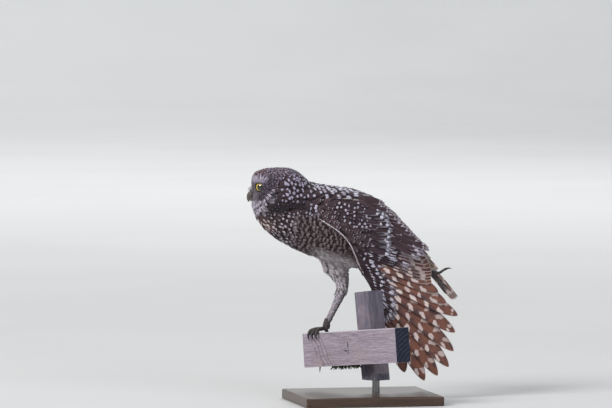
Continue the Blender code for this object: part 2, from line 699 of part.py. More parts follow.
def build_tail(owl, helpers):
    """Twelve tail feathers fanned from the rump, with a tier of coverts over them."""
    axis = Vector((math.cos(TAIL_FALL), 0.0, -math.sin(TAIL_FALL)))
    up = Vector((math.sin(TAIL_FALL), 0.0, math.cos(TAIL_FALL)))
    side = Vector((0.0, 1.0, 0.0))
    roll = Matrix.Rotation(TAIL_ROLL, 3, axis)
    up, side = roll @ up, roll @ side
    stations = [(TAIL_ROOT + axis * along, depth, width) for along, depth, width in TAIL_CORE]
    pieces = [limb(stations, CORE_SIDES, STATIONS_PER_SPAN, "tail_core", helpers)]
    half = (TAIL_FEATHERS - 1) / 2.0
    for k in range(TAIL_FEATHERS):
        share = (k - half) / half
        turn = share * TAIL_FAN
        way = axis * math.cos(turn) + side * math.sin(turn)
        layer = up * TAIL_LAYERS * (1.0 - 2.0 * abs(share))
        root = TAIL_ROOT + side * share * TAIL_ROOT_SPREAD + layer * 0.6
        tip = TAIL_ROOT + way * (TAIL_LENGTH - TAIL_ROUNDING * share * share) + layer
        lead = 1.0 if share > 0 else -1.0
        pieces.append(vane(root, tip, up, TAIL_WIDTH, PLANE_STATIONS, "tail_feather", helpers, lead=lead,
                           tilt=TAIL_TILT))
    half = (TAIL_COVERTS - 1) / 2.0
    for k in range(TAIL_COVERTS):
        share = (k - half) / half
        turn = share * TAIL_FAN * 1.2
        way = axis * math.cos(turn) + side * math.sin(turn)
        root = TAIL_ROOT + side * share * TAIL_ROOT_SPREAD * 0.8 + up * TAIL_COVERT_LIFT[0]
        lift = up * (TAIL_COVERT_LIFT[1] - 1.2 * abs(share))
        tip = TAIL_ROOT + way * (TAIL_LENGTH * TAIL_COVERT_SHARE) + lift
        lead = 1.0 if share > 0 else -1.0
        pieces.append(vane(root, tip, up, TAIL_COVERT_WIDTH, COVERT_STATIONS, "tail_covert", helpers,
                           lead=lead, bulge=COVERT_BULGE))
    return union("tail", pieces, owl, helpers)


def toe(points, radii, name, helpers):
    """One toe with its claw: a loft that thins to the claw's point."""
    rings = []
    sides = 8
    for k, (point, radius) in enumerate(zip(points, radii)):
        along = (points[min(k + 1, len(points) - 1)] - points[max(k - 1, 0)]).normalized()
        first = along.orthogonal().normalized() if abs(along.y) > 0.9 else along.cross(Vector((0, 1, 0)))
        first.normalize()
        second = along.cross(first)
        rings.append([
            point + first * radius * math.cos(2 * math.pi * i / sides)
            + second * radius * math.sin(2 * math.pi * i / sides)
            for i in range(sides)
        ])
    return loft(rings, name, helpers)


def bar_point(out, along, up, roll=BAR_ROLL):
    """A place in the bar's frame: out over its front edge, along towards its near end, up from its top."""
    front = Vector((-math.cos(BAR_YAW), -math.sin(BAR_YAW), 0.0))
    near = Vector((math.sin(BAR_YAW), -math.cos(BAR_YAW), 0.0))
    rise = Vector((0.0, 0.0, 1.0))
    near, rise = (
        near * math.cos(roll) + rise * math.sin(roll),
        rise * math.cos(roll) - near * math.sin(roll),
    )
    return FOOT_SPOT + front * out + near * along + rise * up


def bar_block(out, along, up, name, collection, rounding, roll=BAR_ROLL):
    """A block between pairs of places in the bar's frame, its long edges rounded."""
    bm = bmesh.new()
    bmesh.ops.create_cube(bm, size=1.0)
    for vert in bm.verts:
        vert.co = Vector((
            out[0] + (vert.co.x + 0.5) * (out[1] - out[0]),
            along[0] + (vert.co.y + 0.5) * (along[1] - along[0]),
            up[0] + (vert.co.z + 0.5) * (up[1] - up[0]),
        ))
    bmesh.ops.bevel(bm, geom=bm.edges[:], offset=rounding, segments=2, profile=0.5, affect="EDGES",
                    material=-1)
    for vert in bm.verts:
        vert.co = bar_point(*vert.co, roll=roll)
    return object_from(bm, name, collection)


def build_perch(owl, helpers):
    """The crossbar and the length of stake behind it."""
    near_end = BAR_LENGTH - BAR_FAR_END
    bar = bar_block((BAR_FRONT - BAR_THICK, BAR_FRONT), (-BAR_FAR_END, near_end), (-BAR_HEIGHT, 0.0),
                    "perch_crossbar", owl, EDGE_ROUNDING)
    back = BAR_FRONT - BAR_THICK - GAP
    stake = bar_block((back - STAKE_SIDE, back), (STAKE_NEAR - STAKE_SIDE, STAKE_NEAR),
                      (-STAKE_BELOW, STAKE_ABOVE), "perch_stake", owl, EDGE_ROUNDING, roll=STAKE_ROLL)
    below = half_space(Vector((0.0, 0.0, STAKE_CUT)), Vector((0.0, 0.0, -1.0)), helpers)
    return bar, carved(stake, below, owl)


def build_stand(owl):
    """The flat display base and the short rod under the stake's cut end."""
    bm = bmesh.new()
    bmesh.ops.create_cube(bm, size=1.0)
    bmesh.ops.scale(bm, vec=BASE_SIZE, verts=bm.verts[:])
    bmesh.ops.translate(bm, vec=(BASE_MIDDLE[0], BASE_MIDDLE[1], BASE_SIZE[2] / 2), verts=bm.verts[:])
    upper = [edge for edge in bm.edges if max(v.co.z for v in edge.verts) > BASE_SIZE[2] - 0.1]
    bmesh.ops.bevel(bm, geom=upper, offset=BASE_ROUNDING, segments=2, profile=0.5, affect="EDGES",
                    material=-1)
    object_from(bm, "stand_base", owl)
    behind = BAR_FRONT - BAR_THICK - GAP - STAKE_SIDE / 2
    top = bar_point(behind, STAKE_NEAR - STAKE_SIDE / 2, 0.0, roll=STAKE_ROLL)
    foot = bar_point(behind, STAKE_NEAR - STAKE_SIDE / 2, -STAKE_BELOW, roll=STAKE_ROLL)
    middle = top.lerp(foot, (top.z - STAKE_CUT) / (top.z - foot.z))
    low, high = BASE_SIZE[2] + GAP, STAKE_CUT - GAP
    bm = bmesh.new()
    bmesh.ops.create_cone(bm, cap_ends=True, segments=24, radius1=ROD_RADIUS, radius2=ROD_RADIUS,
                          depth=high - low)
    bmesh.ops.translate(bm, vec=(middle.x, middle.y, (low + high) / 2), verts=bm.verts[:])
    object_from(bm, "stand_rod", owl)


def build_legs(owl, helpers, torso, bar):
    """Thigh, shank and foot of each leg, the right one gripping the bar."""
    skin = swollen(torso, GAP, helpers)
    for name, stations in (("leg_right_thigh", THIGH_RIGHT), ("leg_left_thigh", THIGH_LEFT)):
        carved(limb(stations, 14, 3, name, owl), skin, owl, keep_cutter=True)
    bpy.data.objects.remove(skin, do_unlink=True)
    shank = limb(SHANK_LEFT, 10, 2, "leg_left_shank", owl)
    carved(shank, swollen(bpy.data.objects["leg_left_thigh"], GAP, helpers), owl)
    shank = limb(SHANK_RIGHT, 10, 2, "leg_right_shank", owl)
    ankle = FOOT_SPOT + Vector((0.0, 0.0, ANKLE_HEIGHT))
    down = Vector((0.0, 0.0, -1.0))
    shank = carved(shank, half_space(ankle, down, helpers), owl)
    carved(shank, swollen(bpy.data.objects["leg_right_thigh"], GAP, helpers), owl)
    foot = standing_foot(helpers, owl)
    foot = carved(foot, half_space(ankle + down * GAP, -down, helpers), owl)
    carved(foot, swollen(bar, GAP * 1.6, helpers), owl)
    foot = raised_foot(helpers, owl)
    carved(foot, half_space(HEEL_LEFT, HEEL_CUT, helpers), owl)


def standing_foot(helpers, owl):
    """Three toes over the bar's front edge and one over its back, each down to its claw."""
    toes = [ball(FOOT_SPOT + Vector((0.5, 0.0, PAD_RADIUS)), PAD_RADIUS, "pad", helpers, rings=7)]
    for spread in TOE_SPREAD:
        points = [
            bar_point(0.0, 0.0, 4.0),
            bar_point(6.0, spread * 0.35, 3.8),
            bar_point(BAR_FRONT - 1.0, spread * 0.8, 3.2),
            bar_point(BAR_FRONT + 3.4, spread, -0.4),
            bar_point(BAR_FRONT + 4.2, spread * 1.02, -4.0),
            bar_point(BAR_FRONT + 2.6, spread * 1.04, -8.6),
        ]
        toes.append(toe(points, TOE_RADII, "toe", helpers))
    back = BAR_FRONT - BAR_THICK
    points = [
        bar_point(0.0, 0.0, 4.0),
        bar_point(-4.0, -4.0, 3.6),
        bar_point(back + 0.5, -8.0, 3.0),
        bar_point(back - 3.2, -10.0, -0.6),
        bar_point(back - 3.6, -10.5, -3.6),
        bar_point(back - 2.2, -11.0, -7.4),
    ]
    toes.append(toe(points, BACK_TOE_RADII, "back_toe", helpers))
    return union("foot_right", toes, owl, helpers)


def raised_foot(helpers, owl):
    """The stretched leg's foot, its toes hanging half closed behind the heel."""
    base = HEEL_LEFT + RAISED_PAD
    toes = [ball(base, RAISED_PAD_RADIUS, "pad", helpers, rings=7)]
    for lift, across in RAISED_TOES:
        points = [
            base,
            base + Vector((4.0, across * 0.5, lift * 0.5 - 1.0)),
            base + Vector((8.0, across, lift - 2.0)),
            base + Vector((11.0, across * 1.1, lift - 5.5)),
            base + Vector((11.5, across * 1.1, lift - 9.0)),
            base + Vector((9.5, across, lift - 13.0)),
        ]
        toes.append(toe(points, RAISED_TOE_RADII, "toe", helpers))
    return union("foot_left", toes, owl, helpers)


def stand_at_origin(owl):
    """Moves the model so that the middle of its underside is the origin."""
    corners = [vert.co for thing in owl.objects for vert in thing.data.vertices]
    low = Vector(min(c[i] for c in corners) for i in range(3))
    high = Vector(max(c[i] for c in corners) for i in range(3))
    move = -Vector(((low.x + high.x) / 2, (low.y + high.y) / 2, low.z))
    for thing in owl.objects:
        thing.data.transform(Matrix.Translation(move))


FINISHES = {
    "head": ((0.115, 0.085, 0.075), 0.9),
    "neck": ((0.12, 0.09, 0.08), 0.9),
    "torso": ((0.14, 0.105, 0.09), 0.9),
    "tail": ((0.2, 0.125, 0.08), 0.85),
    "wing_left": ((0.17, 0.11, 0.08), 0.85),
    "wing_right": ((0.15, 0.1, 0.075), 0.85),
    "leg_right_thigh": ((0.55, 0.5, 0.44), 0.92),
    "leg_left_thigh": ((0.55, 0.5, 0.44), 0.92),
    "leg_right_shank": ((0.42, 0.37, 0.32), 0.9),
    "leg_left_shank": ((0.42, 0.37, 0.32), 0.9),
    "foot_right": ((0.12, 0.1, 0.09), 0.7),
    "foot_left": ((0.07, 0.06, 0.06), 0.7),
    "bill_upper": ((0.36, 0.37, 0.28), 0.45),
    "bill_lower": ((0.3, 0.31, 0.24), 0.45),
    "eye_left": ((0.75, 0.55, 0.06), 0.08),
    "eye_right": ((0.75, 0.55, 0.06), 0.08),
    "perch_crossbar": ((0.42, 0.36, 0.34), 0.9),
    "perch_stake": ((0.33, 0.29, 0.3), 0.9),
    "stand_base": ((0.06, 0.055, 0.05), 0.5),
    "stand_rod": ((0.25, 0.25, 0.26), 0.35),
}


def dress(owl):
    """Gives each node its own plain material and smooth shading where it is round."""
    for thing in owl.objects:
        colour, roughness = FINISHES[thing.name]
        thing.data.materials.clear()
        thing.data.materials.append(finish_material(thing.name + "_finish", colour, roughness))
        thing.data.shade_smooth()
        thing.data.set_sharp_from_angle(angle=math.radians(35.0))


def main():
    clear_scene()
    owl = new_collection("burrowing_owl")
    helpers = new_collection("cutters", hidden=True)
    torso = build_head(owl, helpers)
    wing_left = build_wing_left(owl, helpers)
    wing_right = build_wing_right(owl, helpers)
    tail = build_tail(owl, helpers)
    bar, stake = build_perch(owl, helpers)
    build_stand(owl)
    build_legs(owl, helpers, torso, bar)
    wing_left = carved(wing_left, swollen(stake, GAP, helpers), owl)
    for feathered in (wing_left, wing_right, tail):
        carved(feathered, swollen(torso, GAP, helpers), owl)
    stand_at_origin(owl)
    dress(owl)


main()
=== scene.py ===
"""Dressed life-size burrowing owl that stretches one wing and one leg on a wooden T perch.

Sizes are in millimetres of the owl's own layout, in which the bird faces -X, its left side is -Y and
the display base stands on Z = 0. Layout turns them into the frame's metres. One skin stands for the
flesh. Feathers lie over it as thin closed vanes, and the flight feathers are larger vanes set along
the bones of each wing. Each vane carries its own map and attributes, which its finish reads.
"""

from __future__ import annotations

import heapq
import json
import logging
import math
from collections.abc import Callable
from dataclasses import dataclass, field
from enum import Enum

import bmesh
import bpy
import numpy as np
from mathutils import Matrix, Vector
from mathutils.bvhtree import BVHTree
from mathutils.kdtree import KDTree

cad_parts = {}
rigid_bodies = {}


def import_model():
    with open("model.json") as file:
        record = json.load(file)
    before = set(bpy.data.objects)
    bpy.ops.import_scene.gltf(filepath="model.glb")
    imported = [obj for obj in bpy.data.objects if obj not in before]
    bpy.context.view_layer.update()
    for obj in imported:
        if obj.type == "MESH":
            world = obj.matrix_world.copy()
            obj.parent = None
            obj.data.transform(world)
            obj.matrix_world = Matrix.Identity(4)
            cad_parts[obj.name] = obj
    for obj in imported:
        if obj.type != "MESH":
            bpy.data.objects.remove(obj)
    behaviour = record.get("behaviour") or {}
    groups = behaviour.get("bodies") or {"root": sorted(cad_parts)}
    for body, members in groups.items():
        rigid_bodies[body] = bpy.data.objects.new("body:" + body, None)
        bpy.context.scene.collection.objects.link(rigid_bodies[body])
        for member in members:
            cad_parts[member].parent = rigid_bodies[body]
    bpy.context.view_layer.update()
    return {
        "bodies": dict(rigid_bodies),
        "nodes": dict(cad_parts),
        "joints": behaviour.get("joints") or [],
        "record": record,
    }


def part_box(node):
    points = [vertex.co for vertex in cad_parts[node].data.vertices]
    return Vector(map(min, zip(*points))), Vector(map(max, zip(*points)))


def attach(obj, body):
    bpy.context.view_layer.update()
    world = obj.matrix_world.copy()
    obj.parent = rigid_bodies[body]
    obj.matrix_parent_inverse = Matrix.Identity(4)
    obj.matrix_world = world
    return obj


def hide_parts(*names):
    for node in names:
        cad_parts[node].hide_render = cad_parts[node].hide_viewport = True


LOG = logging.getLogger("owl")
MM = 0.001
Array = np.ndarray
Colour = tuple[float, float, float]

HEAD_CENTRE = np.array((-79.5, 0.0, 228.5))
HEAD_TURN = math.radians(12.0)
AHEAD = np.array((-math.cos(HEAD_TURN), math.sin(HEAD_TURN), 0.0))
LEFTWARD = np.array((-math.sin(HEAD_TURN), -math.cos(HEAD_TURN), 0.0))
EYE = np.array((18.3, 12.2, 2.0))
EYE_RADIUS = 7.6
UP = np.array((0.0, 0.0, 1.0))

FEATHER = np.dtype([
    ("root", float, 3), ("middle", float, 3), ("tip", float, 3),
    ("up_root", float, 3), ("up_tip", float, 3),
    ("lead", float), ("trail", float), ("camber", float), ("roll", float), ("hand", float),
    ("ground", float, 3), ("mark", float, 3), ("spot", float, 4), ("bars", float, 4),
    ("patch", float, 4),
])


class Side(Enum):
    """The bird's own left or right."""

    LEFT = 1.0
    RIGHT = -1.0


def srgb(red: float, green: float, blue: float) -> Colour:
    """Turns a colour in 0..255 screen values into linear values.

    Args:
        red: screen red.
        green: screen green.
        blue: screen blue.

    Returns:
        The linear colour.
    """
    return tuple(
        (c / 255.0 / 12.92) if c <= 10.0 else ((c / 255.0 + 0.055) / 1.055) ** 2.4
        for c in (red, green, blue)
    )


def unit(vectors: Array) -> Array:
    """Scales vectors to length one along the last axis."""
    size = np.linalg.norm(vectors, axis=-1, keepdims=True)
    return vectors / np.maximum(size, 1e-9)


def smooth(value: Array, low: float, high: float) -> Array:
    """A soft step from 0 at low to 1 at high, either way round."""
    share = np.clip((value - low) / (high - low), 0.0, 1.0)
    return share * share * (3.0 - 2.0 * share)


def bell(value: Array, middle: float, width: float) -> Array:
    """A bell-shaped weight round a middle value."""
    return np.exp(-(((value - middle) / width) ** 2))


def settled(faces: Array) -> Array:
    """Triangles in one fixed order, because a mesh operator may list the same ones anew each run."""
    first = faces.argmin(1)[:, None]
    turned = np.take_along_axis(faces, (first + np.arange(3)) % 3, 1)
    return turned[np.lexsort(turned.T)]


def point_normals(points: Array, faces: Array) -> Array:
    """Normals at points, each face weighed by its angle there and added up in the faces' order."""
    corners = points[faces]
    flat = unit(np.cross(corners[:, 1] - corners[:, 0], corners[:, 2] - corners[:, 0]))
    total = np.zeros_like(points)
    for k in range(3):
        one = unit(corners[:, (k + 1) % 3] - corners[:, k])
        two = unit(corners[:, (k + 2) % 3] - corners[:, k])
        angle = np.arccos(np.clip((one * two).sum(1), -1.0, 1.0))
        np.add.at(total, faces[:, k], flat * angle[:, None])
    return unit(total)


def head_point(forward: float, side: float, up: float) -> Array:
    """A place of the head's own frame, side being positive to the bird's left."""
    return HEAD_CENTRE + AHEAD * forward + LEFTWARD * side + UP * up


def head_axes(points: Array) -> Array:
    """Forward, side and up readings of points in the head's own frame."""
    offset = points - HEAD_CENTRE
    return np.stack((offset @ AHEAD, offset @ LEFTWARD, offset[..., 2]), axis=-1)


def between(stations: Array, places: Array) -> Array:
    """Catmull-Rom reading of rows of numbers at places given in spans.

    Args:
        stations: one row a station.
        places: where to read, from 0 to the number of spans.

    Returns:
        One row a place.
    """
    rows = np.asarray(stations, float)
    places = np.atleast_1d(np.asarray(places, float))
    last = len(rows) - 1
    start = np.minimum(places.astype(int), last - 1)
    share = (places - start).reshape((-1,) + (1,) * (rows.ndim - 1))
    before = rows[np.maximum(start - 1, 0)]
    here, ahead = rows[start], rows[start + 1]
    after = rows[np.minimum(start + 2, last)]
    return (
        here
        + (ahead - before) * (0.5 * share)
        + (before * 2 - here * 5 + ahead * 4 - after) * (0.5 * share**2)
        + (here * 3 - ahead * 3 + after - before) * (0.5 * share**3)
    )


class Layout:
    """Turns the owl's own millimetres into the frame's metres and makes objects from meshes."""

    def __init__(self) -> None:
        """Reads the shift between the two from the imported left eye."""
        low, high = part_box("eye_left")
        centre = np.array((low + high) / 2.0) / MM
        self.shift = centre - head_point(*EYE)

    def place(self, points: Array) -> Array:
        """Own millimetres to frame metres."""
        return (np.asarray(points, float) + self.shift) * MM

    def back(self, points: Array) -> Array:
        """Frame metres to own millimetres."""
        return np.asarray(points, float) / MM - self.shift

    def piece(
        self, bm: bmesh.types.BMesh, name: str, finish: bpy.types.Material, slot: str
    ) -> bpy.types.Object:
        """Turns a bmesh in own millimetres into a finished piece that rides on the root body.

        Args:
            bm: the mesh, which is freed.
            name: the piece's name.
            finish: its material.
            slot: the record's material slot; not used.

        Returns:
            The new object, at the origin, with its place in its mesh.
        """
        for vert in bm.verts:
            vert.co = Vector(self.place(np.array(vert.co)))
        bmesh.ops.remove_doubles(bm, verts=bm.verts[:], dist=1e-7)
        bm.normal_update()
        bmesh.ops.recalc_face_normals(bm, faces=bm.faces[:])
        mesh = bpy.data.meshes.new(name)
        bm.to_mesh(mesh)
        bm.free()
        return self.adopt(mesh, name, finish, slot)

    def adopt(
        self, mesh: bpy.types.Mesh, name: str, finish: bpy.types.Material, slot: str
    ) -> bpy.types.Object:
        """Links a mesh in frame metres as a smooth-shaded piece of the root body."""
        mesh.materials.clear()
        mesh.materials.append(finish)
        mesh.shade_smooth()
        made = bpy.data.objects.new(name, mesh)
        bpy.context.scene.collection.objects.link(made)
        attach(made, "root")
        LOG.info("%s: %d faces", name, len(mesh.polygons))
        return made


class Recipe:
    """Builds one procedural material a node at a time."""

    def __init__(self, name: str, roughness: float, specular: float = 0.3, **sockets: float) -> None:
        """Starts a Principled material.

        Args:
            name: the material's name.
            roughness: the shader's roughness.
            specular: the shader's specular level.
            **sockets: other shader sockets, spaces written as underscores.
        """
        self.material = bpy.data.materials.new(name)
        self.material.use_nodes = True
        self.tree = self.material.node_tree
        self.shader = self.tree.nodes["Principled BSDF"]
        self.shader.inputs["Roughness"].default_value = roughness
        self.shader.inputs["Specular IOR Level"].default_value = specular
        for key, value in sockets.items():
            self.shader.inputs[key.replace("_", " ")].default_value = value

    def put(self, socket: bpy.types.NodeSocket, value: object) -> None:
        """Links a socket or sets a plain number or colour."""
        if isinstance(value, bpy.types.NodeSocket):
            self.tree.links.new(value, socket)
        elif isinstance(value, tuple) and len(value) == 3 and socket.type == "RGBA":
            socket.default_value = (*value, 1.0)
        else:
            socket.default_value = value

    def math(self, operation: str, *values: object, clamp: bool = False) -> bpy.types.NodeSocket:
        """A Math node on sockets or numbers."""
        node = self.tree.nodes.new("ShaderNodeMath")
        node.operation = operation
        node.use_clamp = clamp
        for socket, value in zip(node.inputs, values):
            self.put(socket, value)
        return node.outputs[0]

    def step(
        self, value: object, low: float, high: float, start: float = 0.0, end: float = 1.0
    ) -> bpy.types.NodeSocket:
        """A smooth step from start at low to end at high."""
        node = self.tree.nodes.new("ShaderNodeMapRange")
        node.interpolation_type = "SMOOTHSTEP"
        for key, number in (
            ("Value", value), ("From Min", low), ("From Max", high), ("To Min", start), ("To Max", end)
        ):
            self.put(node.inputs[key], number)
        return node.outputs[0]

    def mix(self, share: object, first: object, second: object, blend: str = "MIX") -> bpy.types.NodeSocket:
        """A colour mix."""
        node = self.tree.nodes.new("ShaderNodeMix")
        node.data_type = "RGBA"
        node.blend_type = blend
        self.put(node.inputs[0], share)
        self.put(node.inputs[6], first)
        self.put(node.inputs[7], second)
        return node.outputs[2]

    def place(
        self, origin: Array | None = None, turn: Matrix | None = None,
        scale: tuple[float, float, float] = (1.0, 1.0, 1.0)
    ) -> bpy.types.NodeSocket:
        """Object coordinates, read in a frame of the piece's own.

        Args:
            origin: the frame's origin in metres.
            turn: the frame's rotation.
            scale: how much each axis is stretched after that.

        Returns:
            The vector socket.
        """
        coordinates = self.tree.nodes.new("ShaderNodeTexCoord").outputs["Object"]
        if origin is None:
            return coordinates
        node = self.tree.nodes.new("ShaderNodeMapping")
        node.vector_type = "TEXTURE"
        node.inputs["Location"].default_value = tuple(origin)
        if turn is not None:
            node.inputs["Rotation"].default_value = turn.to_euler("XYZ")
        self.put(node.inputs["Vector"], coordinates)
        if scale == (1.0, 1.0, 1.0):
            return node.outputs[0]
        stretch = self.tree.nodes.new("ShaderNodeMapping")
        stretch.inputs["Scale"].default_value = scale
        self.put(stretch.inputs["Vector"], node.outputs[0])
        return stretch.outputs[0]

    def axes(self, vector: bpy.types.NodeSocket) -> tuple[bpy.types.NodeSocket, ...]:
        """The three parts of a vector."""
        node = self.tree.nodes.new("ShaderNodeSeparateXYZ")
        self.put(node.inputs[0], vector)
        return tuple(node.outputs)

    def noise(
        self, vector: object, scale: float, detail: float = 3.0, distortion: float = 0.0
    ) -> bpy.types.NodeSocket:
        """A noise reading."""
        node = self.tree.nodes.new("ShaderNodeTexNoise")
        if vector is not None:
            self.put(node.inputs["Vector"], vector)
        node.inputs["Scale"].default_value = scale
        node.inputs["Detail"].default_value = detail
        node.inputs["Distortion"].default_value = distortion
        return node.outputs[0]

    def cells(self, vector: object, scale: float, feature: str = "F1") -> bpy.types.NodeSocket:
        """Distance within Voronoi cells."""
        node = self.tree.nodes.new("ShaderNodeTexVoronoi")
        node.feature = feature
        self.put(node.inputs["Vector"], vector)
        node.inputs["Scale"].default_value = scale
        return node.outputs["Distance"]

    def attribute(self, name: str) -> bpy.types.Node:
        """An attribute of the mesh."""
        node = self.tree.nodes.new("ShaderNodeAttribute")
        node.attribute_name = name
        return node

    def parts(self, colour: bpy.types.NodeSocket) -> tuple[bpy.types.NodeSocket, ...]:
        """The red, green and blue of a colour."""
        node = self.tree.nodes.new("ShaderNodeSeparateColor")
        self.put(node.inputs[0], colour)
        return tuple(node.outputs)

    def vane_map(self) -> tuple[bpy.types.NodeSocket, bpy.types.NodeSocket]:
        """Across -1..1 and along 0..1 readings of a vane's own map."""
        node = self.tree.nodes.new("ShaderNodeUVMap")
        node.uv_map = "vane"
        across, along, _ = self.axes(node.outputs[0])
        return self.math("MULTIPLY_ADD", across, 2.0, -1.0), along

    def bump(self, height: object, strength: float, distance: float) -> None:
        """Puts a bump on the shader."""
        node = self.tree.nodes.new("ShaderNodeBump")
        node.inputs["Strength"].default_value = strength
        node.inputs["Distance"].default_value = distance
        self.put(node.inputs["Height"], height)
        self.put(self.shader.inputs["Normal"], node.outputs[0])

    def done(self, colour: object) -> bpy.types.Material:
        """Sets the base colour and hands over the material."""
        self.put(self.shader.inputs["Base Color"], colour)
        return self.material


@dataclass(frozen=True)
class BodyPlumage:
    """Small feathers whose spots, bars and fringe come from their attributes."""

    name: str = "body_plumage"
    roughness: float = 0.8
    barb_count: float = 30.0

    def make(self) -> bpy.types.Material:
        """Builds the material."""
        mix = Recipe(self.name, self.roughness, 0.2, Sheen_Weight=0.12)
        across, along = mix.vane_map()
        wide = mix.math("ABSOLUTE", across)
        ground = mix.attribute("ground").outputs["Color"]
        mark = mix.attribute("mark").outputs["Color"]
        spot = mix.attribute("spot")
        centre, height, reach = mix.parts(spot.outputs["Color"])
        depth = spot.outputs["Alpha"]
        bars = mix.attribute("bars")
        strength, count, phase = mix.parts(bars.outputs["Color"])
        fringe = bars.outputs["Alpha"]
        grain = mix.noise(mix.place(), 420.0, 2.0)
        fine = mix.noise(mix.place(), 1500.0, 1.0)
        shaken = mix.math("MULTIPLY_ADD", grain, 0.2, mix.math("SUBTRACT", along, 0.10))
        dx = mix.math("DIVIDE", mix.math("SUBTRACT", wide, centre), reach)
        dy = mix.math("DIVIDE", mix.math("SUBTRACT", shaken, height), depth)
        away = mix.math("ADD", mix.math("MULTIPLY", dx, dx), mix.math("MULTIPLY", dy, dy))
        spots = mix.step(mix.math("MULTIPLY_ADD", fine, 0.9, away), 1.9, 0.9)
        curve = mix.math("MULTIPLY_ADD", mix.math("MULTIPLY", wide, wide), -0.1, shaken)
        turn = mix.math("MULTIPLY", mix.math("MULTIPLY_ADD", curve, count, phase), 2.0 * math.pi)
        wave = mix.step(mix.math("MULTIPLY_ADD", grain, 0.8, mix.math("COSINE", turn)), 0.45, 1.0)
        banded = mix.math("MULTIPLY", wave, strength)
        rimward = mix.math("MULTIPLY_ADD", mix.math("POWER", wide, 3.0), 0.34, along)
        edge = mix.math("MULTIPLY", mix.step(rimward, 0.82, 0.93), fringe)
        pale = mix.math("MAXIMUM", mix.math("MAXIMUM", spots, banded), edge)
        shaft = mix.math("MULTIPLY", mix.step(wide, 0.16, 0.04), 0.35)
        slant = mix.math("MULTIPLY_ADD", wide, -0.4, along)
        barbs = mix.math("SINE", mix.math("MULTIPLY", slant, self.barb_count * 2.0 * math.pi))
        shade = mix.math("MULTIPLY_ADD", grain, 0.5, mix.math("MULTIPLY_ADD", barbs, 0.07, 0.62))
        shade = mix.math("MULTIPLY_ADD", fine, 0.3, shade)
        colour = mix.mix(mix.math("MULTIPLY", pale, 0.96), ground, mark)
        colour = mix.mix(shaft, colour, mix.mix(0.5, ground, (0.01, 0.008, 0.008)))
        shaded = mix.mix(1.0, colour, shade, "MULTIPLY")
        mix.bump(mix.math("ADD", barbs, mix.math("MULTIPLY", grain, 2.0)), 0.35, 0.0001)
        return mix.done(shaded)


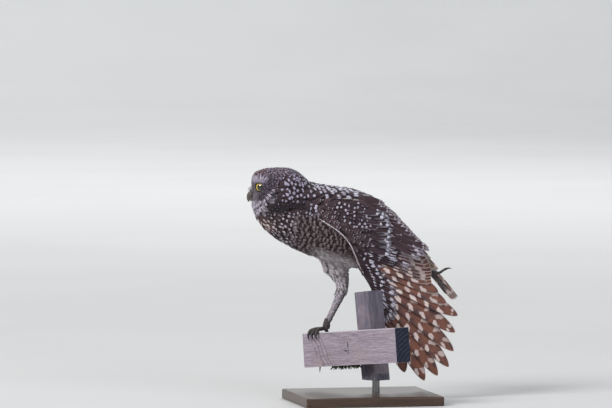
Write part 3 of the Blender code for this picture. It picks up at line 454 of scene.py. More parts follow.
@dataclass(frozen=True)
class FlightPlumage:
    """Large vanes: plum brown to rust, with broken rows of pale blotches and a thin pale rim.

    Each feather's bars attribute holds the shift of its rows, its warmth and how pale its blotches are.
    """

    name: str = "flight_plumage"
    period: float = 17.0
    first: float = 13.0
    duty: float = 0.42
    slant: float = 0.34
    rim: float = 0.9
    umber: Colour = srgb(80, 60, 62)
    rust: Colour = srgb(142, 90, 70)
    pale: Colour = srgb(226, 208, 204)
    roughness: float = 0.62

    def make(self) -> bpy.types.Material:
        """Builds the material."""
        mix = Recipe(self.name, self.roughness, 0.28, Sheen_Weight=0.06)
        across, along = mix.vane_map()
        wide = mix.math("ABSOLUTE", across)
        reach = mix.attribute("reach").outputs["Fac"]
        edge = mix.attribute("edge").outputs["Fac"]
        under = mix.attribute("under").outputs["Fac"]
        tone = mix.attribute("ground").outputs["Color"]
        shift, warmth, paleness = mix.parts(mix.attribute("bars").outputs["Color"])
        coarse = mix.noise(mix.place(), 120.0, 3.0)
        fine = mix.noise(mix.place(), 900.0, 2.0)
        outer = mix.step(across, -0.06, 0.06)
        blotch = mix.math("MULTIPLY", self._blotches(mix, reach, wide, edge, coarse, shift), paleness)
        blotch = mix.math("MULTIPLY", blotch, mix.math("MULTIPLY_ADD", outer, 0.25, 0.75))
        warm = mix.step(mix.math("MULTIPLY_ADD", wide, -0.25, mix.math("MULTIPLY", coarse, 0.8)), 0.05, 0.45)
        warm = mix.math(
            "MULTIPLY", mix.math("MULTIPLY", warm, warmth), mix.step(reach, 115.0, 30.0, 0.45, 1.0)
        )
        brown = mix.mix(1.0, mix.mix(warm, self.umber, self.rust), tone, "MULTIPLY")
        freckle = mix.step(mix.noise(mix.place(), 520.0, 2.0), 0.52, 0.66)
        brown = mix.mix(mix.math("MULTIPLY", freckle, 0.3), brown, self.umber)
        colour = mix.mix(blotch, brown, self.pale)
        rim = mix.math("MULTIPLY", mix.step(edge, self.rim, self.rim * 0.35), mix.step(reach, 30.0, 8.0))
        colour = mix.mix(mix.math("MULTIPLY", rim, 0.85), colour, self.pale)
        colour = mix.mix(mix.math("MULTIPLY", mix.step(wide, 0.07, 0.02), 0.6), colour, self.umber)
        colour = mix.mix(mix.math("MULTIPLY", under, 0.25), colour, srgb(176, 160, 150))
        barbs = mix.math("SINE", mix.math("MULTIPLY", mix.math("MULTIPLY_ADD", wide, -0.12, along), 420.0))
        shade = mix.math("MULTIPLY_ADD", fine, 0.4, mix.math("MULTIPLY_ADD", barbs, 0.05, 0.8))
        mix.bump(mix.math("MULTIPLY_ADD", fine, 1.5, barbs), 0.3, 0.00015)
        return mix.done(mix.mix(1.0, colour, shade, "MULTIPLY"))

    def _blotches(
        self, mix: Recipe, reach: object, wide: object, edge: object, coarse: object, shift: object
    ) -> bpy.types.NodeSocket:
        """Pale marks in rows across the vane, which meet the shaft in a point."""
        rows = mix.math("DIVIDE", mix.math("SUBTRACT", reach, self.first), self.period)
        rows = mix.math(
            "ADD", mix.math("MULTIPLY_ADD", wide, self.slant, rows), mix.math("MULTIPLY", coarse, 0.8)
        )
        rows = mix.math("FRACT", mix.math("ADD", mix.math("ADD", rows, shift), 1.125))
        near = mix.math("ABSOLUTE", mix.math("SUBTRACT", rows, 0.5))
        swell = mix.math("MULTIPLY", mix.step(wide, 0.02, 0.45), mix.step(wide, 1.15, 0.7, 0.35, 1.0))
        band = mix.step(mix.math("MULTIPLY_ADD", swell, -self.duty * 0.5, near), 0.05, -0.06)
        inside = mix.math("MULTIPLY", mix.step(wide, 0.04, 0.14), mix.step(edge, 0.2, 1.2))
        clear_tip = mix.step(reach, self.first * 0.4, self.first * 0.6)
        return mix.math("MULTIPLY", mix.math("MULTIPLY", band, inside), clear_tip)


@dataclass(frozen=True)
class Downy:
    """The skin below the feathers, which carries their ground colour and soft pale flecks."""

    name: str = "down"
    roughness: float = 0.95

    def make(self) -> bpy.types.Material:
        """Builds the material."""
        mix = Recipe(self.name, self.roughness, 0.1, Sheen_Weight=0.2)
        ground = mix.attribute("ground").outputs["Color"]
        mark = mix.attribute("mark").outputs["Color"]
        flecks = mix.step(mix.cells(mix.place(), 210.0), 0.42, 0.2)
        fine = mix.noise(mix.place(), 900.0, 2.0)
        colour = mix.mix(mix.math("MULTIPLY", flecks, 0.5), ground, mark)
        colour = mix.mix(1.0, colour, mix.math("MULTIPLY_ADD", fine, 0.6, 0.5), "MULTIPLY")
        mix.bump(fine, 0.5, 0.0004)
        return mix.done(colour)


@dataclass(frozen=True)
class Horn:
    """Smooth keratin of the bill or the claws, streaked along its length."""

    name: str
    base: Colour
    tip: Colour
    origin: tuple[float, float, float]
    reach: float
    roughness: float = 0.35

    def make(self) -> bpy.types.Material:
        """Builds the material."""
        mix = Recipe(self.name, self.roughness, 0.5, Coat_Weight=0.15)
        place = mix.place(np.array(self.origin))
        x, _, z = mix.axes(place)
        away = mix.math("SQRT", mix.math("ADD", mix.math("MULTIPLY", x, x), mix.math("MULTIPLY", z, z)))
        fade = mix.step(away, self.reach, 0.0)
        cloud = mix.noise(mix.place(), 500.0, 3.0)
        streak = mix.noise(mix.place(np.zeros(3), None, (1.0, 3.0, 1.0)), 700.0, 2.0, 1.0)
        colour = mix.mix(fade, self.base, self.tip)
        colour = mix.mix(
            1.0, colour,
            mix.math("MULTIPLY_ADD", cloud, 0.5, mix.math("MULTIPLY_ADD", streak, 0.4, 0.55)),
            "MULTIPLY"
        )
        mix.bump(streak, 0.15, 0.0001)
        return mix.done(colour)


@dataclass(frozen=True)
class ToeSkin:
    """Dark scaly skin of the toes and eyelids."""

    name: str = "toe_skin"
    dark: Colour = srgb(44, 38, 40)
    light: Colour = srgb(92, 82, 82)
    scales: float = 620.0
    roughness: float = 0.6

    def make(self) -> bpy.types.Material:
        """Builds the material."""
        mix = Recipe(self.name, self.roughness, 0.35)
        seams = mix.cells(mix.place(), self.scales, "DISTANCE_TO_EDGE")
        cloud = mix.noise(mix.place(), 300.0, 3.0)
        plate = mix.step(seams, 0.02, 0.16)
        colour = mix.mix(
            mix.math("MULTIPLY", plate, mix.math("MULTIPLY_ADD", cloud, 0.9, 0.1)), self.dark,
            self.light
        )
        mix.bump(mix.step(seams, 0.0, 0.2), 0.6, 0.0003)
        return mix.done(colour)


@dataclass(frozen=True)
class EyeGlaze:
    """A glossy eye: black pupil, yellow iris with fine rays and a dark outer ring."""

    name: str
    centre: tuple[float, float, float]
    gaze: tuple[float, float, float]
    pupil: float = 3.0
    iris: float = 6.0

    def make(self) -> bpy.types.Material:
        """Builds the material."""
        mix = Recipe(self.name, 0.06, 0.6, Coat_Weight=1.0, Coat_Roughness=0.02)
        turn = Vector(self.gaze).to_track_quat("Z", "Y").to_matrix()
        place = mix.place(np.array(self.centre), turn)
        x, y, z = mix.axes(place)
        away = mix.math("SQRT", mix.math("ADD", mix.math("MULTIPLY", x, x), mix.math("MULTIPLY", y, y)))
        away = mix.math("MULTIPLY", away, 1000.0)
        angle = mix.math("ARCTAN2", y, x)
        rays = mix.tree.nodes.new("ShaderNodeCombineXYZ")
        mix.put(rays.inputs[0], mix.math("MULTIPLY", angle, 6.0))
        mix.put(rays.inputs[1], mix.math("MULTIPLY", away, 0.25))
        fibre = mix.noise(rays.outputs[0], 3.0, 3.0)
        lit = mix.mix(fibre, srgb(150, 116, 14), srgb(214, 186, 46))
        lit = mix.mix(mix.step(away, self.iris * 0.7, self.iris), lit, srgb(50, 36, 8))
        colour = mix.mix(mix.step(away, self.pupil, self.pupil + 0.35), srgb(3, 3, 4), lit)
        colour = mix.mix(mix.step(away, self.iris, self.iris + 0.35), colour, srgb(24, 20, 20))
        front = mix.step(z, 0.0, 0.001)
        colour = mix.mix(front, srgb(24, 20, 20), colour)
        return mix.done(colour)


@dataclass(frozen=True)
class WeatheredBoard:
    """Bare grey board: grain along its length, a ringed dark end that is partly weathered end grain and
    partly painted shade, a pale painted highlight along its top and bottom edges, and cracks.
    """

    name: str
    origin: tuple[float, float, float]
    turn: Matrix
    half_length: float
    light: Colour = srgb(176, 166, 178)
    dark: Colour = srgb(116, 105, 117)
    # end: the end grain's colour; the bar's dark default is partly weathering and partly painted shade.
    end: Colour = srgb(44, 46, 62)
    upright: bool = False
    knot: float = 0.0
    half_height: float = 0.0185

    def _grain(self, mix: Recipe, squeeze: float) -> bpy.types.NodeSocket:
        """The board's own place, drawn out along its length."""
        stretch = (1.0, 1.0, squeeze) if self.upright else (1.0, squeeze, 1.0)
        return mix.place(np.array(self.origin), self.turn, stretch)

    def _veins(self, mix: Recipe, along: object, rise: object, cloud: object) -> bpy.types.NodeSocket:
        """Slanting dark veins that run from one edge to the other beside a knot."""
        sweep_line = mix.math("MULTIPLY_ADD", rise, 0.55, along)
        wobble = mix.math("MULTIPLY_ADD", cloud, 0.02, sweep_line)
        veins = mix.math("SINE", mix.math("MULTIPLY", wobble, 1100.0))
        before = mix.step(sweep_line, self.knot - 0.02, self.knot - 0.008)
        zone = mix.math("MULTIPLY", before, mix.step(sweep_line, self.knot + 0.014, self.knot))
        return mix.math("MULTIPLY", mix.step(veins, -0.2, 0.9), mix.math("MULTIPLY", zone, 0.5))

    def _cracks(self, mix: Recipe, along: object, rise: object, lines: object) -> bpy.types.NodeSocket:
        """Three short dark checks near the bar's middle."""
        marks = None
        for place, height, tall, wide in (
            (-0.002, -0.0155, 0.0032, 0.0007),
            (-0.0015, -0.0225, 0.0018, 0.0005),
            (-0.0055, -0.0215, 0.0007, 0.0022),
        ):
            dx = mix.math("DIVIDE", mix.math("SUBTRACT", along, place), wide)
            dy = mix.math("DIVIDE", mix.math("SUBTRACT", rise, height), tall)
            far = mix.math("ADD", mix.math("MULTIPLY", dx, dx), mix.math("MULTIPLY", dy, dy))
            mark = mix.step(mix.math("MULTIPLY_ADD", lines, 3.0, far), 3.4, 2.0, 0.0, 0.85)
            marks = mark if marks is None else mix.math("MAXIMUM", marks, mark)
        return marks

    def _shaded_end_grain(
        self, mix: Recipe, depth: object, rise: object, cloud: object, local: object
    ) -> bpy.types.NodeSocket:
        """The dark cut across the rings: its own weathered end grain, darkened further as painted shade."""
        up = mix.math("POWER", mix.math("ADD", rise, 0.05), 2.0)
        radius = mix.math("SQRT", mix.math("ADD", up, mix.math("POWER", mix.math("ADD", depth, 0.02), 2.0)))
        rings = mix.math("SINE", mix.math("MULTIPLY", mix.math("MULTIPLY_ADD", cloud, 0.006, radius), 1500.0))
        cut = mix.mix(mix.step(rings, -0.4, 0.9, 0.0, 0.35), self.end, srgb(84, 90, 110))
        return mix.mix(mix.step(mix.noise(local, 300.0, 3.0), 0.4, 0.7, 0.0, 0.5), cut, srgb(30, 31, 42))

    def make(self) -> bpy.types.Material:
        """Builds the material."""
        mix = Recipe(self.name, 0.88, 0.2)
        local = mix.place(np.array(self.origin), self.turn)
        x, y, z = mix.axes(local)
        along, rise = (z, y) if self.upright else (y, z)
        long_grain = self._grain(mix, 0.06)
        broad = mix.noise(long_grain, 260.0, 4.0, 0.6)
        lines = mix.noise(long_grain, 1100.0, 3.0, 0.3)
        cloud = mix.noise(local, 45.0, 3.0)
        fibres = mix.step(lines, 0.42, 0.62)
        tone = mix.math("MULTIPLY_ADD", broad, 0.7, mix.math("MULTIPLY_ADD", fibres, 0.35, -0.05), clamp=True)
        colour = mix.mix(tone, self.dark, self.light)
        colour = mix.mix(mix.step(cloud, 0.45, 0.7, 0.0, 0.35), colour, srgb(166, 148, 146))
        height = mix.math("MULTIPLY_ADD", broad, 0.8, lines)
        dashes = mix.step(mix.cells(self._grain(mix, 0.22), 900.0), 0.3, 0.12, 0.0, 0.55)
        colour = mix.mix(dashes, colour, srgb(92, 80, 90))
        if self.knot:
            colour = mix.mix(self._veins(mix, along, rise, cloud), colour, srgb(104, 86, 88))
            colour = mix.mix(self._cracks(mix, along, rise, lines), colour, srgb(34, 26, 32))
        pits = mix.cells(long_grain, 330.0)
        colour = mix.mix(mix.step(pits, 0.12, 0.05, 0.0, 0.55), colour, srgb(58, 50, 56))
        if not self.upright:
            # A pale painted highlight along the bar's top and bottom edges.
            middle = mix.math("ABSOLUTE", mix.math("ADD", z, self.half_height))
            edge_highlight = mix.step(middle, self.half_height - 0.0014, self.half_height - 0.0002)
            colour = mix.mix(mix.math("MULTIPLY", edge_highlight, 0.6), colour, srgb(208, 200, 212))
        # The board's ends take the end grain, which on the bar is dark partly as painted shade.
        out = mix.step(mix.math("ABSOLUTE", along), self.half_length - 0.0007, self.half_length - 0.0003)
        colour = mix.mix(out, colour, self._shaded_end_grain(mix, x, rise, cloud, local))
        mix.bump(height, 0.55, 0.0006)
        return mix.done(colour)


@dataclass(frozen=True)
class Lacquer:
    """Dark satin wood of the display base."""

    name: str = "base_lacquer"

    def make(self) -> bpy.types.Material:
        """Builds the material."""
        mix = Recipe(self.name, 0.38, 0.4, Coat_Weight=0.25, Coat_Roughness=0.2)
        long_grain = mix.place(np.zeros(3), None, (0.08, 1.0, 1.0))
        broad = mix.noise(long_grain, 220.0, 4.0, 1.2)
        pores = mix.noise(long_grain, 1600.0, 2.0)
        colour = mix.mix(broad, srgb(46, 32, 26), srgb(84, 60, 46))
        colour = mix.mix(mix.step(pores, 0.6, 0.72, 0.0, 0.5), colour, srgb(24, 17, 14))
        mix.bump(mix.math("ADD", broad, pores), 0.08, 0.0002)
        return mix.done(colour)


@dataclass(frozen=True)
class BrushedSteel:
    """Turned steel of the short rod and the nail."""

    name: str = "rod_steel"
    colour: Colour = srgb(150, 150, 152)
    roughness: float = 0.35

    def make(self) -> bpy.types.Material:
        """Builds the material."""
        mix = Recipe(self.name, self.roughness, 0.5, Metallic=1.0)
        rings = mix.noise(mix.place(np.zeros(3), None, (0.2, 0.2, 6.0)), 900.0, 2.0)
        colour = mix.mix(rings, tuple(c * 0.7 for c in self.colour), self.colour)
        mix.bump(rings, 0.1, 0.0001)
        return mix.done(colour)


@dataclass(frozen=True)
class Matt:
    """A quiet finish with a little cloud and grain, for lichen, bristles and the studio floor."""

    name: str
    dark: Colour
    light: Colour
    scale: float = 60.0
    roughness: float = 0.9

    def make(self) -> bpy.types.Material:
        """Builds the material."""
        mix = Recipe(self.name, self.roughness, 0.1)
        cloud = mix.noise(mix.place(), self.scale, 3.0)
        mix.bump(mix.noise(mix.place(), self.scale * 12.0, 2.0), 0.1, 0.0002)
        return mix.done(mix.mix(cloud, self.dark, self.light))


class Prototype:
    """One feather in unit form: across -1..1, along 0..1, the face of each point and its lift."""

    def __init__(
        self, across: Array, along: Array, face: Array, faces: Array, lift: Array | None = None
    ) -> None:
        """Keeps the unit form's points and its triangles."""
        self.across, self.along, self.face, self.faces = across, along, face, faces
        self.lift = np.zeros(len(across)) if lift is None else lift

    @classmethod
    def blade(cls, columns: int, rows: int) -> Prototype:
        """A large flat vane with closed edges, finer towards its tip."""
        bm = bmesh.new()
        bmesh.ops.create_grid(bm, x_segments=columns, y_segments=rows, size=1.0)
        bmesh.ops.solidify(bm, geom=bm.faces[:] + bm.edges[:] + bm.verts[:], thickness=0.5)
        bmesh.ops.triangulate(bm, faces=bm.faces[:])
        bm.normal_update()
        bmesh.ops.recalc_face_normals(bm, faces=bm.faces[:])
        co, faces = cls._read(bm)
        middle = (co[:, 2].max() + co[:, 2].min()) / 2.0
        along = 1.0 - (1.0 - (np.clip(co[:, 1], -1.0, 1.0) + 1.0) / 2.0) ** 1.5
        return cls(np.clip(co[:, 0], -1.0, 1.0), along, np.sign(co[:, 2] - middle), faces)

    @classmethod
    def ragged(cls, columns: int, rows: int, notch: float) -> Prototype:
        """A soft closed vane whose rounded end is parted into short locks of barbs.

        Args:
            columns: how many strips run along it.
            rows: how many steps each strip has.
            notch: how much shorter every second line of points ends.

        Returns:
            The unit form.
        """
        plain = cls.blade(columns, rows)
        share = 1.0 - (1.0 - plain.along) ** (1.0 / 1.5)
        line = np.round((plain.across + 1.0) * columns / 2.0) % 2
        reach = 1.0 - 0.42 * (1.0 - np.sqrt(1.0 - 0.96 * plain.across**2)) - notch * (1.0 - line)
        face = plain.face * (1.0 - 0.6 * share**3)
        return cls(plain.across, reach * share**0.85, face, plain.faces, (line - 0.5) * share**2)

    @staticmethod
    def _read(bm: bmesh.types.BMesh) -> tuple[Array, Array]:
        """The points and triangles of a bmesh, which is freed."""
        bm.verts.index_update()
        co = np.array([vert.co[:] for vert in bm.verts])
        faces = np.array([[vert.index for vert in face.verts] for face in bm.faces])
        bm.free()
        return co, settled(faces)


def soft_outline(along: Array) -> Array:
    """Share of full width along a ragged feather, whose form itself rounds the end."""
    return 0.34 + 0.66 * np.sin(np.clip(along / 0.55, 0.0, 1.0) * math.pi / 2.0)


def flight_outline(along: Array) -> Array:
    """Share of full width along a flight feather: thin quill, level vane, oval tip."""
    rise = 0.12 + 0.88 * smooth(along, 0.02, 0.4)
    fall = np.clip(1.0 - np.clip((along - 0.7) / 0.3, 0.0, 1.0) ** 2.2, 0.004, 1.0) ** 0.62
    return rise * fall


class Plumes:
    """Turns rows of feathers into one joined mesh from a prototype's arrays."""

    def __init__(
        self, layout: Layout, prototype: Prototype, outline: Callable, thickness: float, loft: float = 0.0
    ) -> None:
        """Keeps what every feather of the piece shares.

        Args:
            layout: the owl's layout.
            prototype: the unit feather.
            outline: the share of full width along it.
            thickness: half its thickness at the shaft.
            loft: how far its locks stand over one another.
        """
        self.layout, self.prototype, self.outline = layout, prototype, outline
        self.thickness, self.loft = thickness, loft

    def spread(self, feathers: Array, name: str, finish: bpy.types.Material, slot: str) -> bpy.types.Object:
        """Builds one piece.

        Args:
            feathers: rows of FEATHER.
            name: the piece's name.
            finish: its material.
            slot: the record's material slot; not used.

        Returns:
            The piece.
        """
        form = self.prototype
        count, size = len(feathers), len(form.across)
        along = form.along[None, :, None]
        root, middle, tip = (feathers[key][:, None, :] for key in ("root", "middle", "tip"))
        control = 2.0 * middle - (root + tip) / 2.0
        spine = (1 - along) ** 2 * root + 2 * along * (1 - along) * control + along**2 * tip
        tangent = unit((1 - along) * (control - root) + along * (tip - control))
        up = feathers["up_root"][:, None, :] * (1 - along) + feathers["up_tip"][:, None, :] * along
        up = unit(up - tangent * (up * tangent).sum(-1, keepdims=True))
        side = np.cross(tangent, up)
        roll = feathers["roll"][:, None, None]
        side, up = side * np.cos(roll) + up * np.sin(roll), up * np.cos(roll) - side * np.sin(roll)
        across = form.across[None, :]
        half = np.where(across > 0, feathers["lead"][:, None], feathers["trail"][:, None])
        half = half * self.outline(form.along)[None, :]
        thin = self.thickness * (1.0 - 0.75 * across**2) * form.face[None, :]
        lift = thin + form.lift[None, :] * self.loft - feathers["camber"][:, None] * across**2 * half
        co = spine + side * (across * half)[..., None] + up * lift[..., None]
        faces = (form.faces[None] + (np.arange(count) * size)[:, None, None]).reshape(-1, 3)
        sample = co[0]
        corner = [sample[form.faces[:, k]] for k in range(3)]
        if (corner[0] * np.cross(corner[1], corner[2])).sum() < 0.0:
            faces = faces[:, ::-1]
        mesh = self._mesh(name, self.layout.place(co.reshape(-1, 3)), faces)
        hand = feathers["hand"][:, None]
        vane = np.stack(
            (
                np.broadcast_to(across * hand * 0.5 + 0.5, (count, size)),
                np.broadcast_to(form.along[None], (count, size))
            ),
            -1
        )
        self._map(mesh, "vane", vane.reshape(-1, 2), faces)
        patch = feathers["patch"][:, None, :]
        bake = patch[..., :2] + (vane - 0.5) * patch[..., 2:]
        self._map(mesh, "OFBake", bake.reshape(-1, 2), faces)
        length = np.linalg.norm(feathers["tip"] - feathers["root"], axis=1)[:, None]
        self._number(mesh, "reach", np.broadcast_to((1.0 - form.along[None]) * length, (count, size)))
        self._number(mesh, "edge", (1.0 - np.abs(across)) * half)
        self._number(mesh, "under", np.broadcast_to((form.face[None] < 0).astype(float), (count, size)))
        for key in ("ground", "mark", "spot", "bars"):
            self._tint(mesh, key, feathers[key], size)
        return self.layout.adopt(mesh, name, finish, slot)

    @staticmethod
    def _mesh(name: str, co: Array, faces: Array) -> bpy.types.Mesh:
        """A triangle mesh from joined arrays."""
        mesh = bpy.data.meshes.new(name)
        mesh.vertices.add(len(co))
        mesh.vertices.foreach_set("co", co.astype(np.float32).ravel())
        mesh.loops.add(faces.size)
        mesh.loops.foreach_set("vertex_index", faces.astype(np.int32).ravel())
        mesh.polygons.add(len(faces))
        mesh.polygons.foreach_set("loop_start", np.arange(0, faces.size, 3, dtype=np.int32))
        mesh.update(calc_edges=True)
        return mesh

    @staticmethod
    def _map(mesh: bpy.types.Mesh, name: str, places: Array, faces: Array) -> None:
        """A UV map from one place a point."""
        layer = mesh.uv_layers.new(name=name)
        layer.data.foreach_set("uv", places[faces.ravel()].astype(np.float32).ravel())

    @staticmethod
    def _number(mesh: bpy.types.Mesh, name: str, values: Array) -> None:
        """A number a point."""
        made = mesh.attributes.new(name, "FLOAT", "POINT")
        made.data.foreach_set("value", np.ascontiguousarray(values, np.float32).ravel())

    @staticmethod
    def _tint(mesh: bpy.types.Mesh, name: str, values: Array, size: int) -> None:
        """A colour attribute that is level over each feather."""
        made = mesh.attributes.new(name, "FLOAT_COLOR", "POINT")
        full = np.ones((len(values), 4), np.float32)
        full[:, : values.shape[1]] = values
        made.data.foreach_set("color", np.repeat(full, size, axis=0).ravel())


@dataclass(frozen=True)
class Tract:
    """What the small feathers of one part of the bird are like, in millimetres and linear colours."""

    spacing: float
    length: float
    half: float
    rise: float
    ground: Colour
    mark: Colour
    spot: tuple[float, float, float, float]
    bars: tuple[float, float, float, float]

    def row(self) -> Array:
        """The tract as one row of numbers."""
        return np.array(
            (
                self.spacing, self.length, self.half, self.rise, *self.ground, *self.mark, *self.spot,
                *self.bars
            )
        )


LILAC = srgb(206, 198, 216)
DUSK = srgb(58, 45, 51)
NO_BARS = (0.0, 1.0, 0.0, 0.0)
NO_SPOT = (0.0, 0.8, 0.02, 0.02)


@dataclass
class Pattern:
    """The bird's markings: tracts laid one over another by soft masks."""

    mantle: Tract = Tract(4.4, 15.0, 4.0, 2.8, DUSK, LILAC, (0.26, 0.84, 0.36, 0.10), NO_BARS)
    shoulder: Tract = Tract(5.2, 19.0, 5.4, 3.4, DUSK, srgb(214, 210, 228), (0.34, 0.8, 0.5, 0.13), NO_BARS)
    rump: Tract = Tract(
        4.8, 18.0, 4.6, 2.6, srgb(86, 62, 56), srgb(206, 184, 170), (0.4, 0.84, 0.26, 0.07),
        (0.0, 1.0, 0.0, 0.4)
    )
    breast: Tract = Tract(
        3.5, 11.5, 2.7, 2.6, srgb(58, 44, 47), srgb(186, 176, 188), (0.0, 0.8, 0.46, 0.13), NO_BARS
    )
    chest: Tract = Tract(
        3.1, 11.0, 2.2, 2.4, srgb(98, 74, 72), srgb(208, 192, 190), (0.0, 0.8, 0.5, 0.16), NO_BARS
    )
    flank: Tract = Tract(
        4.0, 14.5, 3.9, 2.6, srgb(47, 34, 36), srgb(134, 119, 121), NO_SPOT, (0.85, 2.5, 0.1, 0.0)
    )
    belly: Tract = Tract(
        3.8, 13.0, 2.8, 2.4, srgb(180, 172, 176), srgb(112, 88, 84), NO_SPOT, (0.1, 2.5, 0.2, 0.0)
    )
    collar: Tract = Tract(
        3.0, 9.5, 2.3, 2.0, srgb(36, 29, 34), srgb(104, 94, 108), (0.0, 0.86, 0.24, 0.05), NO_BARS
    )
    nape: Tract = Tract(3.6, 10.5, 3.2, 2.2, DUSK, srgb(192, 184, 208), (0.0, 0.8, 0.62, 0.14), NO_BARS)
    crown: Tract = Tract(
        2.1, 7.0, 1.5, 1.4, srgb(76, 62, 72), srgb(158, 148, 172), (0.0, 0.8, 0.5, 0.12), NO_BARS
    )
    forehead: Tract = Tract(
        1.9, 7.0, 1.0, 2.1, srgb(90, 68, 74), srgb(176, 158, 172), (0.0, 0.9, 0.4, 0.10), NO_BARS
    )
    disc: Tract = Tract(
        1.6, 4.8, 0.9, 0.9, srgb(66, 57, 67), srgb(134, 124, 140), (0.0, 0.8, 0.45, 0.14), NO_BARS
    )
    brow: Tract = Tract(
        1.5, 4.8, 0.9, 1.5, srgb(162, 154, 172), srgb(110, 98, 112), (0.0, 0.8, 0.3, 0.08), NO_BARS
    )
    lore: Tract = Tract(
        1.4, 5.2, 0.65, 1.1, srgb(104, 97, 107), srgb(168, 160, 170), (0.0, 0.8, 0.4, 0.2), NO_BARS
    )
    chin: Tract = Tract(
        1.7, 6.0, 1.2, 1.6, srgb(178, 170, 184), srgb(116, 104, 120), (0.0, 0.6, 0.25, 0.16), NO_BARS
    )
    gape: Tract = Tract(
        1.6, 4.8, 1.0, 0.8, srgb(42, 35, 42), srgb(108, 98, 112), (0.0, 0.8, 0.2, 0.08), NO_BARS
    )
    thigh: Tract = Tract(2.6, 9.0, 1.6, 1.8, srgb(172, 165, 171), srgb(90, 72, 76), NO_SPOT, NO_BARS)
    shank: Tract = Tract(1.7, 5.2, 0.85, 0.7, srgb(166, 158, 168), srgb(98, 84, 92), NO_SPOT, NO_BARS)

    def read(self, points: Array, normals: Array, labels: Array) -> Array:
        """Lays the tracts over one another.

        Args:
            points: places on the skin in own millimetres.
            normals: the skin's normals there.
            labels: 0 on head and body, 1 on a thigh, 2 on a shank.

        Returns:
            One row a place, laid out as Tract.row.
        """
        x, y, z = points.T
        forward, side, rise = head_axes(points).T
        wide = np.abs(side)
        out = np.tile(self.mantle.row(), (len(points), 1))

        def lay(tract: Tract, mask: Array) -> None:
            """Mixes a tract in by its mask."""
            share = np.clip(mask, 0.0, 1.0)[:, None]
            out[:] = out * (1.0 - share) + tract.row() * share

        axis_up = normals @ np.array((0.45, 0.0, 0.89))
        low = smooth(axis_up, 0.34, 0.1)
        trunk = smooth(forward, -6.0, -16.0)
        lay(
            self.shoulder,
            trunk * bell(x, -22.0, 24.0) * smooth(np.abs(y), 9.0, 17.0) * smooth(z, 206.0, 214.0)
        )
        lay(self.rump, smooth(x, 24.0, 48.0))
        lay(self.breast, low * smooth(x, -62.0, -78.0) * smooth(z, 214.0, 208.0))
        lay(self.flank, low * smooth(x, -82.0, -68.0) * smooth(z, 206.0, 196.0))
        lay(self.chest, smooth(x, -90.0, -100.0) * smooth(z, 204.0, 197.0) * smooth(np.abs(y), 20.0, 8.0))
        under = z + 0.36 * x
        lay(self.belly, smooth(under, 153.0, 145.0) * smooth(x, -62.0, -44.0))
        lay(self.belly, smooth(x, 20.0, 40.0) * smooth(axis_up, 0.1, -0.3))
        skull = smooth(forward, -26.0, -18.0) * smooth(rise - 0.35 * forward, -16.0, -12.0)
        lay(self.nape, skull)
        lay(self.crown, skull * smooth(rise + 0.45 * forward, 2.0, 12.0))
        band = bell(rise, -17.0, 6.0) * smooth(forward, -26.0, -16.0) * smooth(forward, 22.0, 17.0)
        lay(self.collar, 1.15 * band * smooth(wide, 4.0, 12.0))
        lay(self.disc, smooth(forward, 2.0, 9.0) * smooth(rise, 12.5, 9.5) * smooth(rise, -13.0, -9.0))
        lay(self.forehead, smooth(forward, 14.0, 21.0) * smooth(rise, 9.0, 12.0))
        lay(self.brow, bell(rise - 0.12 * (wide - 8.0), 8.4, 2.6) * smooth(forward, 13.0, 17.0) * 1.3)
        lay(self.lore, smooth(forward, 22.0, 25.0) * smooth(rise, 5.0, 3.0) * smooth(rise, -15.0, -11.0))
        lay(self.chin, smooth(forward, 19.0, 22.0) * smooth(rise, -10.0, -13.0) * smooth(rise, -27.0, -22.0))
        line = rise + 10.6 + 0.85 * (forward - 19.4)
        cheek = smooth(forward, 6.0, 11.0) * smooth(wide, 6.0, 9.0)
        lay(self.gape, bell(line, 3.0, 1.0) * cheek * 0.8)
        lay(self.chin, bell(line, 0.0, 1.3) * cheek * 1.2)
        lay(self.gape, bell(line, -2.9, 1.3) * cheek)
        lay(self.chin, bell(line, -5.8, 1.2) * cheek * smooth(forward, 8.0, 12.0))
        lay(self.thigh, (labels == 1).astype(float))
        lay(self.shank, (labels == 2).astype(float))
        # Painted shade: the shanks' feathers are darkened on the side that faces back and up.
        heel = (labels == 2) * smooth(normals @ np.array((1.0, 0.0, 0.3)), -0.2, 0.6)
        out[:, 4:7] = out[:, 4:7] * (
            1 - heel[:, None] * 0.75
        ) + np.array(srgb(70, 58, 62)) * heel[:, None] * 0.75
        return out


